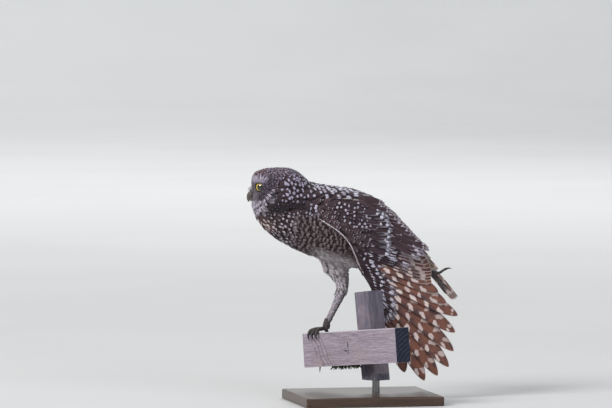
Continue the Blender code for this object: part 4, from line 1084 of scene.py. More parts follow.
class Surface:
    """A skin as arrays: where feathers may root, which way they lie and where their patch is."""

    def __init__(
        self, mesh: bpy.types.Mesh, layout: Layout, start: Array, settle: bool = False
    ) -> None:
        """Reads a mesh in frame metres.

        Args:
            mesh: the skin.
            layout: the owl's layout.
            start: the place, in own millimetres, that the coat flows away from.
            settle: puts the triangles in a fixed order, which random places and normals depend on.
        """
        mesh.calc_loop_triangles()
        count = len(mesh.vertices)
        co = np.empty(count * 3)
        mesh.vertices.foreach_get("co", co)
        self.points = layout.back(co.reshape(-1, 3))
        normals = np.empty(count * 3)
        mesh.vertex_normals.foreach_get("vector", normals)
        self.normals = normals.reshape(-1, 3)
        faces = np.empty(len(mesh.loop_triangles) * 3, np.int32)
        mesh.loop_triangles.foreach_get("vertices", faces)
        self.faces = faces.reshape(-1, 3)
        if settle:
            self.faces = settled(self.faces)
            self.normals = point_normals(self.points, self.faces)
        self.tree = BVHTree.FromPolygons(self.points.tolist(), self.faces.tolist())
        self.reach = self._walk(start)
        self.flow = self._flow()

    def _edges(self) -> Array:
        """Each edge once."""
        pairs = np.concatenate((self.faces[:, :2], self.faces[:, 1:], self.faces[:, ::2]))
        return np.unique(np.sort(pairs, axis=1), axis=0)

    def _walk(self, start: Array) -> Array:
        """Distance over the skin from the start to every point."""
        edges = self._edges()
        lengths = np.linalg.norm(self.points[edges[:, 0]] - self.points[edges[:, 1]], axis=1)
        links: list[list[tuple[int, float]]] = [[] for _ in range(len(self.points))]
        for (a, b), length in zip(edges.tolist(), lengths.tolist()):
            links[a].append((b, length))
            links[b].append((a, length))
        best = [math.inf] * len(links)
        first = int(np.linalg.norm(self.points - start, axis=1).argmin())
        best[first] = 0.0
        queue = [(0.0, first)]
        while queue:
            far, here = heapq.heappop(queue)
            if far > best[here]:
                continue
            for there, length in links[here]:
                reach = far + length
                if reach < best[there]:
                    best[there] = reach
                    heapq.heappush(queue, (reach, there))
        reach = np.array(best)
        reach[~np.isfinite(reach)] = 0.0
        return reach

    def _flow(self) -> Array:
        """The direction in which the distance grows, smoothed over the skin."""
        a, b = self._edges().T
        step = self.points[b] - self.points[a]
        gain = ((self.reach[b] - self.reach[a]) / (step**2).sum(1))[:, None] * step
        flow = np.zeros_like(self.points)
        np.add.at(flow, a, gain)
        np.add.at(flow, b, gain)
        for _ in range(24):
            flow = unit(flow - self.normals * (flow * self.normals).sum(1, keepdims=True))
            spread = flow.copy()
            np.add.at(spread, a, flow[b])
            np.add.at(spread, b, flow[a])
            flow = spread
        return unit(flow - self.normals * (flow * self.normals).sum(1, keepdims=True))

    def scatter(self, count: int, rng: np.random.Generator) -> tuple[Array, ...]:
        """Even random places on the skin.

        Args:
            count: how many.
            rng: the seeded source.

        Returns:
            Points, normals, flow directions and distances from the start.
        """
        a, b, c = (self.points[self.faces[:, k]] for k in range(3))
        area = np.linalg.norm(np.cross(b - a, c - a), axis=1)
        pick = rng.choice(len(area), count, p=area / area.sum())
        one, two = rng.random(count), rng.random(count)
        flip = one + two > 1.0
        one, two = np.where(flip, 1 - one, one), np.where(flip, 1 - two, two)
        weights = np.stack((1 - one - two, one, two), 1)[:, :, None]
        corners = self.faces[pick]
        places = (self.points[corners] * weights).sum(1)
        normals = unit((self.normals[corners] * weights).sum(1))
        flow = unit((self.flow[corners] * weights).sum(1))
        reach = (self.reach[corners] * weights[:, :, 0]).sum(1)
        return places, normals, flow, reach

    def nearest(self, points: Array) -> tuple[Array, Array]:
        """The skin's nearest places to points, and its face normals there."""
        found = [self.tree.find_nearest(point) for point in points.tolist()]
        return np.array([hit[0][:] for hit in found]), np.array([hit[1][:] for hit in found])


def thin_out(points: Array, spacing: Array, rng: np.random.Generator) -> Array:
    """Keeps places that stand at least their own spacing apart.

    Args:
        points: candidate places.
        spacing: the distance each keeps.
        rng: the seeded source.

    Returns:
        Indices of the places kept.
    """
    tree = KDTree(len(points))
    for index, point in enumerate(points.tolist()):
        tree.insert(point, index)
    tree.balance()
    alive = np.ones(len(points), bool)
    kept = []
    for index in rng.permutation(len(points)).tolist():
        if not alive[index]:
            continue
        kept.append(index)
        for _, other, _ in tree.find_range(points[index].tolist(), float(spacing[index])):
            alive[other] = False
    return np.array(kept)


def lay_down(
    surface: Surface, places: Array, normals: Array, flow: Array, rows: Array, rng: np.random.Generator
) -> Array:
    """Rows of FEATHER that lie over a skin like shingles.

    Args:
        surface: the skin.
        places: the roots.
        normals: the skin's normals there.
        flow: the way each feather points.
        rows: tract numbers, one row a feather.
        rng: the seeded source.

    Returns:
        The feathers.
    """
    count = len(places)
    made = np.zeros(count, FEATHER)
    length = rows[:, 1] * rng.normal(1.0, 0.07, count).clip(0.8, 1.2)
    rise = rows[:, 3] * rng.normal(1.0, 0.12, count).clip(0.7, 1.35)
    turn = rng.normal(0.0, 0.10, count)[:, None]
    flow = unit(flow * np.cos(turn) + np.cross(normals, flow) * np.sin(turn))
    half_way, up_middle = surface.nearest(places + flow * (length * 0.5)[:, None])
    onward = half_way - places
    onward = unit(onward - up_middle * (onward * up_middle).sum(1, keepdims=True))
    end, up_end = surface.nearest(half_way + onward * (length * 0.5)[:, None])
    up_end = unit(up_end + up_middle)
    made["root"] = places - normals * 0.35
    made["middle"] = half_way + unit(up_middle + normals) * (rise * 0.62)[:, None]
    made["tip"] = end + up_end * rise[:, None]
    made["up_root"], made["up_tip"] = normals, up_end
    made["lead"] = made["trail"] = rows[:, 2] * rng.normal(1.0, 0.06, count).clip(0.85, 1.15)
    made["camber"] = 0.22
    made["roll"] = rng.normal(0.0, 0.07, count)
    made["hand"] = 1.0
    tone = rng.normal(1.0, 0.13, (count, 1)).clip(0.7, 1.4)
    made["ground"] = rows[:, 4:7] * tone
    made["mark"] = (rows[:, 7:10] * rng.normal(1.0, 0.1, (count, 1))).clip(0.0, 0.95)
    made["spot"] = rows[:, 10:14]
    made["spot"][:, 0] *= rng.uniform(0.2, 1.5, count)
    made["spot"][:, 2] *= rng.normal(1.0, 0.28, count).clip(0.35, 1.6)
    made["spot"][:, 3] *= rng.normal(1.0, 0.22, count).clip(0.5, 1.6)
    made["bars"] = rows[:, 14:18]
    return made


@dataclass
class Flesh:
    """The one skin of head, neck, trunk and legs, which stands for the solids of flesh."""

    layout: Layout
    pattern: Pattern
    voxel: float = 0.0013
    swell: float = 0.0004
    nodes: tuple[str, ...] = (
        "torso", "neck", "head", "leg_right_thigh", "leg_left_thigh", "leg_right_shank",
        "leg_left_shank"
    )
    surface: Surface | None = None

    def build(self, frame: dict) -> bpy.types.Object:
        """Joins copies of the solids, seals their seams and draws the skin in by the coat's depth.

        Args:
            frame: the loaded frame.

        Returns:
            The skin.
        """
        bm = bmesh.new()
        for name in self.nodes:
            bm.from_mesh(frame["nodes"][name].data)
        bmesh.ops.remove_doubles(bm, verts=bm.verts[:], dist=1e-6)
        bm.normal_update()
        for vert, normal in [(vert, vert.normal.copy()) for vert in bm.verts]:
            vert.co += normal * self.swell
        rough = bpy.data.meshes.new("skin_rough")
        bm.to_mesh(rough)
        bm.free()
        holder = bpy.data.objects.new("skin_rough", rough)
        bpy.context.scene.collection.objects.link(holder)
        remesh = holder.modifiers.new("seal", "REMESH")
        remesh.mode = "VOXEL"
        remesh.voxel_size = self.voxel
        graph = bpy.context.evaluated_depsgraph_get()
        mesh = bpy.data.meshes.new_from_object(holder.evaluated_get(graph))
        bpy.data.objects.remove(holder)
        bm = bmesh.new()
        bm.from_mesh(mesh)
        for _ in range(6):
            bmesh.ops.smooth_vert(
                bm, verts=bm.verts[:], factor=0.5, use_axis_x=True, use_axis_y=True, use_axis_z=True
            )
        bm.normal_update()
        depth = self.depth(self.layout.back(np.array([vert.co[:] for vert in bm.verts])))
        moves = [(vert, vert.normal.copy(), far) for vert, far in zip(bm.verts, depth.tolist())]
        for vert, normal, far in moves:
            vert.co -= normal * (far * MM)
        bm.to_mesh(mesh)
        bm.free()
        skin = self.layout.adopt(mesh, "skin", Downy().make(), "dark_plumage")
        self.surface = Surface(mesh, self.layout, head_point(30.0, 0.0, -5.0))
        self.tint(mesh)
        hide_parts(*self.nodes)
        return skin

    @staticmethod
    def labels(points: Array) -> Array:
        """0 on head and body, 1 on a thigh, 2 on a shank."""
        x, y, z = points.T
        right = (x < 6.0) & (y > -4.0) & (z < 141.0)
        left = (x > 20.0) & (y < -8.0) & (z < 156.0)
        shank = (right & (z < 118.5)) | (left & (x > 45.0))
        return np.where(shank, 2, np.where(right | (left & (x > 26.0)), 1, 0))

    @staticmethod
    def depth(points: Array) -> Array:
        """How far below the coat's outside the skin lies."""
        head = head_axes(points)
        eyes = np.minimum(
            np.linalg.norm(head - EYE, axis=1), np.linalg.norm(head - EYE * np.array((1, -1, 1)), axis=1)
        )
        skull = smooth(head[:, 0], -24.0, -8.0) * smooth(head[:, 2], -26.0, -18.0)
        depth = 2.9 * (1.0 - skull) + 1.7 * skull
        depth *= 0.3 + 0.7 * smooth(eyes, 9.5, 14.0)
        labels = Flesh.labels(points)
        depth = np.where(labels == 1, 1.9, depth)
        return np.where(labels == 2, 0.9, depth)

    def tint(self, mesh: bpy.types.Mesh) -> None:
        """Gives the skin the coat's own markings and an unwrap along its length."""
        rows = self.pattern.read(self.surface.points, self.surface.normals, self.labels(self.surface.points))
        for key, part in (("ground", rows[:, 4:7] * 0.8), ("mark", rows[:, 7:10] * 0.7)):
            made = mesh.attributes.new(key, "FLOAT_COLOR", "POINT")
            made.data.foreach_set("color", np.c_[part, np.ones(len(part))].astype(np.float32).ravel())

    def unwrap(self, points: Array, reach: Array) -> Array:
        """A place on the unwrapped skin: round the body's own length, the legs beside it."""
        x, y, z = points.T
        labels = self.labels(points)
        far = reach.max() + 1.0
        slope = np.clip((x + 110.0) / 180.0, 0.0, 1.0)
        middle = 226.0 - 62.0 * slope**1.4
        round_body = np.arctan2(y, z - middle) / (2 * math.pi) + 0.5
        right = np.arctan2(y - 5.0, x + 14.0) / (2 * math.pi) + 0.5
        left = np.arctan2(y + 17.0, z - 143.0) / (2 * math.pi) + 0.5
        leg = np.where(y > -5.0, 0.72 + 0.12 * right, 0.86 + 0.12 * left)
        return np.stack((np.where(labels > 0, leg, 0.01 + 0.68 * round_body), 0.01 + 0.97 * reach / far), -1)


@dataclass
class Coat:
    """The small feathers of head, neck, trunk and legs."""

    layout: Layout
    flesh: Flesh
    pattern: Pattern
    candidates: int = 150000
    seed: int = 7

    def build(self, finish: bpy.types.Material, pale: bpy.types.Material) -> list[bpy.types.Object]:
        """Scatters, thins and lays the feathers, then parts them into pieces by place.

        Args:
            finish: the body plumage.
            pale: the legs' plumage.

        Returns:
            The coat pieces.
        """
        rng = np.random.default_rng(self.seed)
        surface = self.flesh.surface
        places, normals, flow, reach = surface.scatter(self.candidates, rng)
        labels = self.flesh.labels(places)
        rows = self.pattern.read(places, normals, labels)
        flow = self.comb(places, normals, flow)
        keep = self.clear_of_bare_parts(places)
        places, normals, flow, reach, labels, rows = (
            part[keep] for part in (places, normals, flow, reach, labels, rows)
        )
        kept = thin_out(places, rows[:, 0], rng)
        places, normals, flow, reach, labels, rows = (
            part[kept] for part in (places, normals, flow, reach, labels, rows)
        )
        feathers = lay_down(surface, places, normals, flow, rows, rng)
        flecked = (labels > 0) & (rng.random(len(labels)) < 0.16)
        feathers["spot"][flecked] = (0.0, 0.8, 0.6, 0.12)
        feathers["patch"][:, :2] = self.flesh.unwrap(places, reach)
        feathers["patch"][:, 2:] = 0.003
        head = head_axes(places)
        skull = (head[:, 0] > -20.0) & (head[:, 2] > -24.0) & (labels == 0)
        front = (places[:, 0] < -30.0) & ~skull & (labels == 0)
        small = Plumes(self.layout, Prototype.ragged(6, 3, 0.1), soft_outline, 0.16, 0.25)
        face = skull & (head[:, 0] > 4.0)
        groups = (
            ("coat_face", face, finish, "dark_plumage"),
            ("coat_head", skull & ~face, finish, "dark_plumage"),
            ("coat_front", front, finish, "dark_plumage"),
            ("coat_back", ~skull & ~front & (labels == 0), finish, "dark_plumage"),
            ("coat_legs", labels > 0, pale, "pale_plumage"),
        )
        return [small.spread(feathers[mask], name, material, slot) for name, mask, material, slot in groups]

    @staticmethod
    def comb(places: Array, normals: Array, flow: Array) -> Array:
        """Turns the lie round each eye outwards, as on a facial disc."""
        head = head_axes(places)
        side = np.where(head[:, 1] >= 0.0, 1.0, -1.0)
        ahead = np.outer(np.ones(len(places)) * EYE[0], AHEAD)
        sideways = np.outer(side * EYE[1], LEFTWARD)
        eye = head_point(0, 0, 0) + ahead + sideways + UP * EYE[2]
        away = places - eye
        away = unit(away - normals * (away * normals).sum(1, keepdims=True))
        near = np.linalg.norm(places - eye, axis=1)
        share = (smooth(near, 17.0, 11.0) * smooth(head[:, 0], 8.0, 14.0))[:, None]
        return unit(flow * (1 - share) + away * share)

    @staticmethod
    def clear_of_bare_parts(places: Array) -> Array:
        """True where feathers may root: not on the eyes, the bill or under the feet."""
        head = head_axes(places)
        eyes = np.minimum(
            np.linalg.norm(head - EYE, axis=1), np.linalg.norm(head - EYE * np.array((1, -1, 1)), axis=1)
        )
        bill = (head[:, 0] > 27.0) & (np.abs(head[:, 1]) < 4.2) & (head[:, 2] < -1.5) & (head[:, 2] > -13.5)
        return (eyes > 9.6) & ~bill & (places[:, 2] > 83.5)


def sweep(path: Array, wide: Array, deep: Array, across: Array, sides: int, rings: int) -> bmesh.types.BMesh:
    """A closed round form along a smooth path, from a ball drawn out.

    Args:
        path: stations of the middle line.
        wide: half width at each station.
        deep: half depth at each station.
        across: the direction of the width.
        sides: how many sides it has.
        rings: how many rings it has.

    Returns:
        The form as a bmesh in own millimetres.
    """
    bm = bmesh.new()
    bmesh.ops.create_uvsphere(bm, u_segments=sides, v_segments=rings, radius=1.0)
    spans = len(path) - 1
    co = np.array([vert.co[:] for vert in bm.verts])
    share = 1.0 - np.arccos(np.clip(co[:, 2], -1.0, 1.0)) / math.pi
    ring = np.sqrt(np.maximum(1.0 - co[:, 2] ** 2, 0.0))
    flat = np.where(ring[:, None] > 0.01, co[:, :2] / np.maximum(ring, 0.01)[:, None], 0.0)
    places = share * spans
    middle = between(path, places)
    along = unit(
        between(path, np.minimum(places + 0.03, spans)) - between(path, np.maximum(places - 0.03, 0))
    )
    wide_way = unit(across - along * (along @ across)[:, None])
    deep_way = np.cross(along, wide_way)
    width = np.interp(places, np.arange(spans + 1), wide)[:, None]
    depth = np.interp(places, np.arange(spans + 1), deep)[:, None]
    moved = middle + wide_way * flat[:, :1] * width + deep_way * flat[:, 1:] * depth
    for vert, place in zip(bm.verts, moved):
        vert.co = Vector(place)
    return bm


def joined(parts: list[bmesh.types.BMesh]) -> bmesh.types.BMesh:
    """Puts several bmeshes into one."""
    whole = bmesh.new()
    for part in parts:
        holder = bpy.data.meshes.new("part")
        part.to_mesh(holder)
        part.free()
        whole.from_mesh(holder)
        bpy.data.meshes.remove(holder)
    return whole


@dataclass
class Wing:
    """One wing: a thin core, its flight feathers, the tiers over their roots and small coverts."""

    layout: Layout
    side: Side
    core: tuple
    elbow: tuple[float, float, float]
    wrist: tuple[float, float, float]
    hand_tip: tuple[float, float, float]
    primary_fall: tuple[float, ...]
    primary_length: tuple[float, ...]
    primary_tip_y: tuple[float, float]
    primary_tilt: tuple[float, ...]
    secondary_fall: tuple[float, ...]
    secondary_length: tuple[float, ...]
    secondary_tip_y: tuple[float, float]
    ulna_start: tuple[float, float, float]
    bulge: float
    primary_width: float = 16.5
    secondary_width: float = 18.0
    secondaries: int = 12
    seed: int = 11
    rng: np.random.Generator = field(init=False)

    def __post_init__(self) -> None:
        """Sets the outward direction and the seeded source."""
        self.out = np.array((0.0, -self.side.value, 0.0))
        self.rng = np.random.default_rng(self.seed)

    def core_point(self, place: Array, round_it: Array, slim: float = 0.82) -> Array:
        """A place on the core: along its stations and round its lens section."""
        edge = between(np.array([s[0] for s in self.core]), place)
        inner = between(np.array([s[1] for s in self.core]), place)
        half = np.interp(place, np.arange(len(self.core)), [s[2] for s in self.core])[:, None] * slim
        middle, across = (edge + inner) / 2.0, (inner - edge) / 2.0
        turn = np.asarray(round_it)[:, None]
        return middle - across * np.cos(turn) * 0.97 + self.out * half * np.sin(turn)

    def flesh(self, finish: bpy.types.Material) -> bpy.types.Object:
        """The core below the coverts, a little slimmer than the solid's."""
        bm = bmesh.new()
        bmesh.ops.create_uvsphere(bm, u_segments=36, v_segments=60, radius=1.0)
        co = np.array([vert.co[:] for vert in bm.verts])
        share = 1.0 - np.arccos(np.clip(co[:, 2], -1.0, 1.0)) / math.pi
        ring = np.sqrt(np.maximum(1.0 - co[:, 2] ** 2, 0.0))
        places = share * (len(self.core) - 1)
        turn = np.arctan2(co[:, 1], co[:, 0])
        moved = self.core_point(places, turn)
        pole = ring < 0.01
        middle = (
            self.core_point(places, np.zeros(len(co))) + self.core_point(places, np.full(len(co), math.pi))
        ) / 2.0
        moved = np.where(pole[:, None], middle, moved)
        for vert, place in zip(bm.verts, moved):
            vert.co = Vector(place)
        made = self.layout.piece(bm, self.name("flesh"), finish, "dark_plumage")
        rows = np.tile(np.r_[np.array(DUSK) * 0.8, 1.0], (len(made.data.vertices), 1))
        for key in ("ground", "mark"):
            layer = made.data.attributes.new(key, "FLOAT_COLOR", "POINT")
            layer.data.foreach_set("color", rows.astype(np.float32).ravel())
        return made

    def name(self, part: str) -> str:
        """A piece's name on this side."""
        return f"wing_{self.side.name.lower()}_{part}"

    def shafts(self, kind: str) -> tuple[Array, Array, Array, Array]:
        """Roots, tips, lengths and tilts of a row of flight feathers, outermost last for primaries."""
        wrist, elbow, hand = (np.array(p) for p in (self.wrist, self.elbow, self.hand_tip))
        if kind == "primary":
            count, known = len(self.primary_length), len(self.primary_length)
            falls, lengths, tips_y = self.primary_fall, self.primary_length, self.primary_tip_y
            start = hand + (wrist - hand) * 0.7 if self.side is Side.RIGHT else wrist
            end = hand
        else:
            count, known = self.secondaries, len(self.secondary_length)
            falls, lengths, tips_y = self.secondary_fall, self.secondary_length, self.secondary_tip_y
            start, end = wrist + np.array(self.ulna_start), elbow
        share = np.linspace(0.0, 1.0, count)
        fall = np.radians(np.interp(share, np.linspace(0, 1, known), falls))
        length = np.interp(share, np.linspace(0, 1, known), lengths)
        root = start + (end - start) * (0.03 + 0.94 * share)[:, None]
        tip = root + np.stack((length * np.cos(fall), np.zeros(count), -length * np.sin(fall)), 1)
        tip[:, 1] = tips_y[0] + (tips_y[1] - tips_y[0]) * share
        tilt = np.interp(
            share, np.linspace(0, 1, len(self.primary_tilt)), self.primary_tilt
        ) if kind == "primary" else np.full(count, 12.0)
        return root, tip, length, tilt

    def remiges(self, finish: bpy.types.Material) -> bpy.types.Object:
        """The flight feathers, each with a narrow leading web and a broad trailing one."""
        rows = []
        for kind, width in (("primary", self.primary_width), ("secondary", self.secondary_width)):
            root, tip, _, tilt = self.shafts(kind)
            if kind == "secondary":
                width = width * len(self.secondary_length) / self.secondaries + 3.5
            made = np.zeros(len(root), FEATHER)
            shaft = unit(tip - root)
            up = unit(self.out - shaft * (shaft @ self.out)[:, None])
            made["root"], made["tip"] = root, tip
            made["middle"] = (root + tip) / 2.0 + up * self.bulge
            made["up_root"] = made["up_tip"] = up
            lead, trail = width * 0.42, width * 0.56
            swap = self.side is Side.RIGHT
            made["lead"], made["trail"] = (trail, lead) if swap else (lead, trail)
            made["camber"] = 0.05
            made["hand"] = self.side.value
            made["roll"] = np.radians(tilt) * self.side.value
            made["ground"] = np.clip(self.rng.normal(1.0, 0.06, (len(root), 1)), 0.85, 1.15)
            count = len(root)
            made["bars"][:, 0] = self.rng.uniform(0.0, 1.0, count)
            made["bars"][:, 1] = self.rng.uniform(0.7, 1.0, count)
            made["bars"][:, 2] = self.rng.uniform(0.7, 1.0, count)
            if kind == "secondary":
                made["ground"] *= 0.82
                made["bars"][:, 1] *= np.linspace(0.9, 0.15, count)
                made["bars"][:, 2] *= np.linspace(0.8, 0.15, count)
            rows.append(made)
        feathers = np.concatenate(rows)
        self.atlas(feathers)
        blades = Plumes(self.layout, Prototype.blade(10, 34), flight_outline, 0.22)
        return blades.spread(feathers, self.name("flight_feathers"), finish, "flight_feather")

    @staticmethod
    def atlas(feathers: Array, columns: int = 12) -> None:
        """Gives each large vane a bake patch of its own."""
        index = np.arange(len(feathers))
        rows = math.ceil(len(feathers) / columns)
        feathers["patch"][:, 0] = (index % columns + 0.5) / columns
        feathers["patch"][:, 1] = (index // columns + 0.5) / rows
        feathers["patch"][:, 2] = 0.9 / columns
        feathers["patch"][:, 3] = 0.94 / rows

    def tier(
        self, kind: str, share: float, start: float, lifts: tuple[float, float], half: float,
        tract: Tract, count: int
    ) -> Array:
        """One tier of coverts over the roots of a row of flight feathers.

        Args:
            kind: primary or secondary.
            share: how far over the flight feather it reaches.
            start: where along the feather its root sits, below zero being ahead of the bone.
            lifts: how far the root and the tip stand off the flight feather.
            half: half width.
            tract: its colours and marks.
            count: how many feathers.

        Returns:
            The feathers.
        """
        root, tip, _, _ = self.shafts(kind)
        spans = len(root) - 1
        places = np.linspace(0.0, spans, count)
        root, tip = between(root, places), between(tip, places)
        shaft = tip - root
        made = np.zeros(count, FEATHER)
        begin = root + shaft * start + self.out * lifts[0]
        end = root + shaft * share + self.out * lifts[1]
        way = unit(shaft)
        up = unit(self.out - way * (way @ self.out)[:, None])
        made["root"], made["tip"] = begin, end
        made["middle"] = (begin + end) / 2.0 + up * 0.9
        made["up_root"] = made["up_tip"] = up
        made["lead"] = half * (0.8 if self.side is Side.LEFT else 1.2)
        made["trail"] = half * (1.2 if self.side is Side.LEFT else 0.8)
        made["camber"] = 0.12
        made["roll"] = np.radians(7.0) * self.side.value + self.rng.normal(0, 0.03, count)
        made["hand"] = self.side.value
        made["ground"] = np.array(tract.ground) * np.clip(self.rng.normal(1.0, 0.1, (count, 1)), 0.8, 1.2)
        made["mark"] = tract.mark
        made["spot"], made["bars"] = tract.spot, tract.bars
        made["spot"][:, 0] *= self.rng.uniform(0.4, 1.3, count)
        made["spot"][:, 2:] *= self.rng.normal(1.0, 0.25, (count, 2)).clip(0.3, 1.6)
        made["tip"] += way * self.rng.normal(0.0, 1.3, count)[:, None]
        made["patch"][:, :2] = self.unwrap(begin)
        made["patch"][:, 2:] = 0.003
        return made

    def unwrap(self, points: Array) -> Array:
        """A place on the core's own unwrap: along the bones and across them."""
        low = np.array([s[0] for s in self.core]).min(0)
        high = np.array([s[1] for s in self.core]).max(0)
        share = np.clip((points - low) / (high - low), -0.1, 1.1)
        half = np.where((points - np.array(self.wrist)) @ self.out > -2.0, 0.0, 0.5)
        return np.stack(
            (0.03 + 0.4 * np.clip(share[:, 0], 0, 1) + half, 0.03 + 0.93 * np.clip(share[:, 2], 0, 1)),
            -1
        )


LEFT_CORE = (
    ((-52.0, -29.0, 203.0), (-46.0, -28.0, 216.0), 2.5),
    ((-37.0, -34.5, 193.0), (-26.0, -34.0, 219.0), 4.0),
    ((-22.0, -37.5, 182.5), (-4.0, -36.5, 217.0), 4.4),
    ((-11.5, -38.0, 170.5), (15.0, -37.0, 208.0), 4.2),
    ((-5.0, -36.5, 157.5), (15.0, -36.0, 186.0), 3.8),
    ((1.5, -32.0, 144.5), (16.0, -32.0, 163.0), 3.2),
    ((10.5, -27.0, 130.5), (21.0, -27.0, 141.0), 2.5),
    ((20.0, -21.5, 113.5), (26.0, -21.5, 119.0), 1.4),
    ((22.0, -20.8, 108.0), (27.5, -20.8, 112.5), 1.0),
)
RIGHT_CORE = (
    ((-58.0, 27.0, 197.0), (-50.0, 27.0, 213.0), 2.5),
    ((-50.0, 33.0, 184.0), (-34.0, 33.0, 217.0), 4.2),
    ((-34.0, 36.5, 173.0), (-12.0, 36.0, 217.0), 4.6),
    ((-16.0, 38.0, 165.0), (8.0, 37.0, 212.0), 4.4),
    ((0.0, 38.0, 163.0), (22.0, 36.5, 203.0), 3.6),
    ((14.0, 36.5, 164.0), (30.0, 34.5, 192.0), 2.0),
)


@dataclass
class WingPlumage:
    """Dresses one wing with its tiers, its small coverts, its shoulder row and its lining."""

    wing: Wing
    arm: Tract = Tract(
        3.0, 9.5, 2.5, 2.0, srgb(74, 58, 62), srgb(190, 180, 192), (0.4, 0.84, 0.26, 0.06), NO_BARS
    )
    lesser: Tract = Tract(3.6, 11.0, 3.2, 2.2, DUSK, LILAC, (0.1, 0.82, 0.36, 0.11), NO_BARS)
    cover: Tract = Tract(
        6.0, 30.0, 6.5, 2.0, srgb(66, 50, 55), srgb(206, 198, 212), (0.4, 0.8, 0.3, 0.06),
        (0, 1, 0, 0.45)
    )
    middle: Tract = Tract(6.0, 20.0, 5.6, 2.0, DUSK, srgb(214, 208, 224), (0.1, 0.82, 0.42, 0.1), NO_BARS)
    scapular: Tract = Tract(
        7.0, 26.0, 6.0, 2.6, DUSK, srgb(216, 212, 228), (0.4, 0.84, 0.34, 0.08), (0, 1, 0, 0.35)
    )
    lining: Tract = Tract(
        4.0, 12.0, 3.6, 1.4, srgb(206, 192, 182), srgb(120, 92, 80), (0.0, 0.8, 0.3, 0.06), NO_BARS
    )
    edging: Tract = Tract(
        3.2, 8.0, 0.7, 1.2, srgb(196, 186, 192), srgb(150, 138, 146), (0.0, 0.4, 0.3, 0.1), NO_BARS
    )
    ruffle: Tract = Tract(
        7.0, 34.0, 3.8, 2.6, srgb(66, 50, 56), srgb(196, 186, 198), (0.4, 0.78, 0.36, 0.06),
        (0, 1, 0, 0.75)
    )

    def direction(self, places: Array) -> Array:
        """The way the coverts point: back along the arm, more and more down towards the hand."""
        if self.wing.side is Side.RIGHT:
            fall = np.full(len(places), 20.0)
        else:
            fall = np.interp(places[:, 2], (108.0, 135.0, 160.0, 215.0), (62.0, 44.0, 27.0, 20.0))
        fall = np.radians(fall)
        return np.stack((np.cos(fall), np.zeros(len(places)), -np.sin(fall)), 1)

    def small(self, core: bpy.types.Object, rng: np.random.Generator) -> Array:
        """Lesser coverts over the core's outside and lining over its inside."""
        wing = self.wing
        surface = Surface(core.data, wing.layout, np.array(wing.core[0][0]), settle=True)
        places, normals, _, _ = surface.scatter(9000, rng)
        outside = normals @ wing.out > -0.15
        edge = between(np.array([s[0] for s in wing.core]), np.interp(places[:, 2], *self._heights()))
        front = np.linalg.norm(places - edge, axis=1)
        rows = np.where(outside[:, None], self.lesser.row(), self.lining.row())
        near = (smooth(front, 25.0, 17.0) * smooth(places[:, 2], 165.0, 176.0))[:, None] * outside[:, None]
        rows = rows * (1.0 - near) + self.arm.row() * near
        kept = thin_out(places, rows[:, 0], rng)
        places, normals, rows = places[kept], normals[kept], rows[kept]
        way = self.direction(places)
        way = unit(way - normals * (way * normals).sum(1, keepdims=True))
        count = len(places)
        made = np.zeros(count, FEATHER)
        length = rows[:, 1] * rng.normal(1.0, 0.08, count)
        made["root"] = places - normals * 0.3
        made["middle"] = places + way * (length * 0.5)[:, None] + normals * (rows[:, 3] * 0.6)[:, None]
        made["tip"] = places + way * length[:, None] + normals * (rows[:, 3] * 0.75)[:, None]
        made["up_root"] = made["up_tip"] = normals
        made["lead"] = made["trail"] = rows[:, 2]
        made["camber"], made["hand"] = 0.2, wing.side.value
        made["roll"] = rng.normal(0.0, 0.08, count)
        made["ground"] = rows[:, 4:7] * rng.normal(1.0, 0.13, (count, 1)).clip(0.7, 1.4)
        made["mark"], made["spot"], made["bars"] = rows[:, 7:10], rows[:, 10:14], rows[:, 14:18]
        made["spot"][:, 2] *= np.where(rng.random(count) < 0.35, 0.1, rng.uniform(0.6, 1.2, count))
        made["patch"][:, :2] = wing.unwrap(places)
        made["patch"][:, 2:] = 0.003
        return made

    def row(self, root: Array, tip: Array, half: float, tract: Tract, rng: np.random.Generator) -> Array:
        """Feathers from roots to tips in one tract's colours.

        Args:
            root: the roots.
            tip: the tips.
            half: half width.
            tract: colours and marks.
            rng: the seeded source.

        Returns:
            The feathers.
        """
        wing, count = self.wing, len(root)
        made = np.zeros(count, FEATHER)
        made["root"], made["tip"] = root, tip
        made["middle"] = (root + tip) / 2.0 + wing.out * 1.1
        made["up_root"] = made["up_tip"] = unit(wing.out + np.array((0.0, 0.0, 0.35)))
        made["lead"] = made["trail"] = half
        made["camber"], made["hand"] = 0.16, wing.side.value
        made["roll"] = rng.normal(0.1, 0.06, count) * wing.side.value
        made["ground"] = np.array(tract.ground) * rng.normal(1.0, 0.12, (count, 1)).clip(0.7, 1.3)
        made["mark"], made["spot"], made["bars"] = tract.mark, tract.spot, tract.bars
        made["spot"][:, 2:] *= rng.uniform(0.4, 1.2, (count, 2))
        made["patch"][:, :2] = wing.unwrap(root)
        made["patch"][:, 2:] = 0.003
        return made

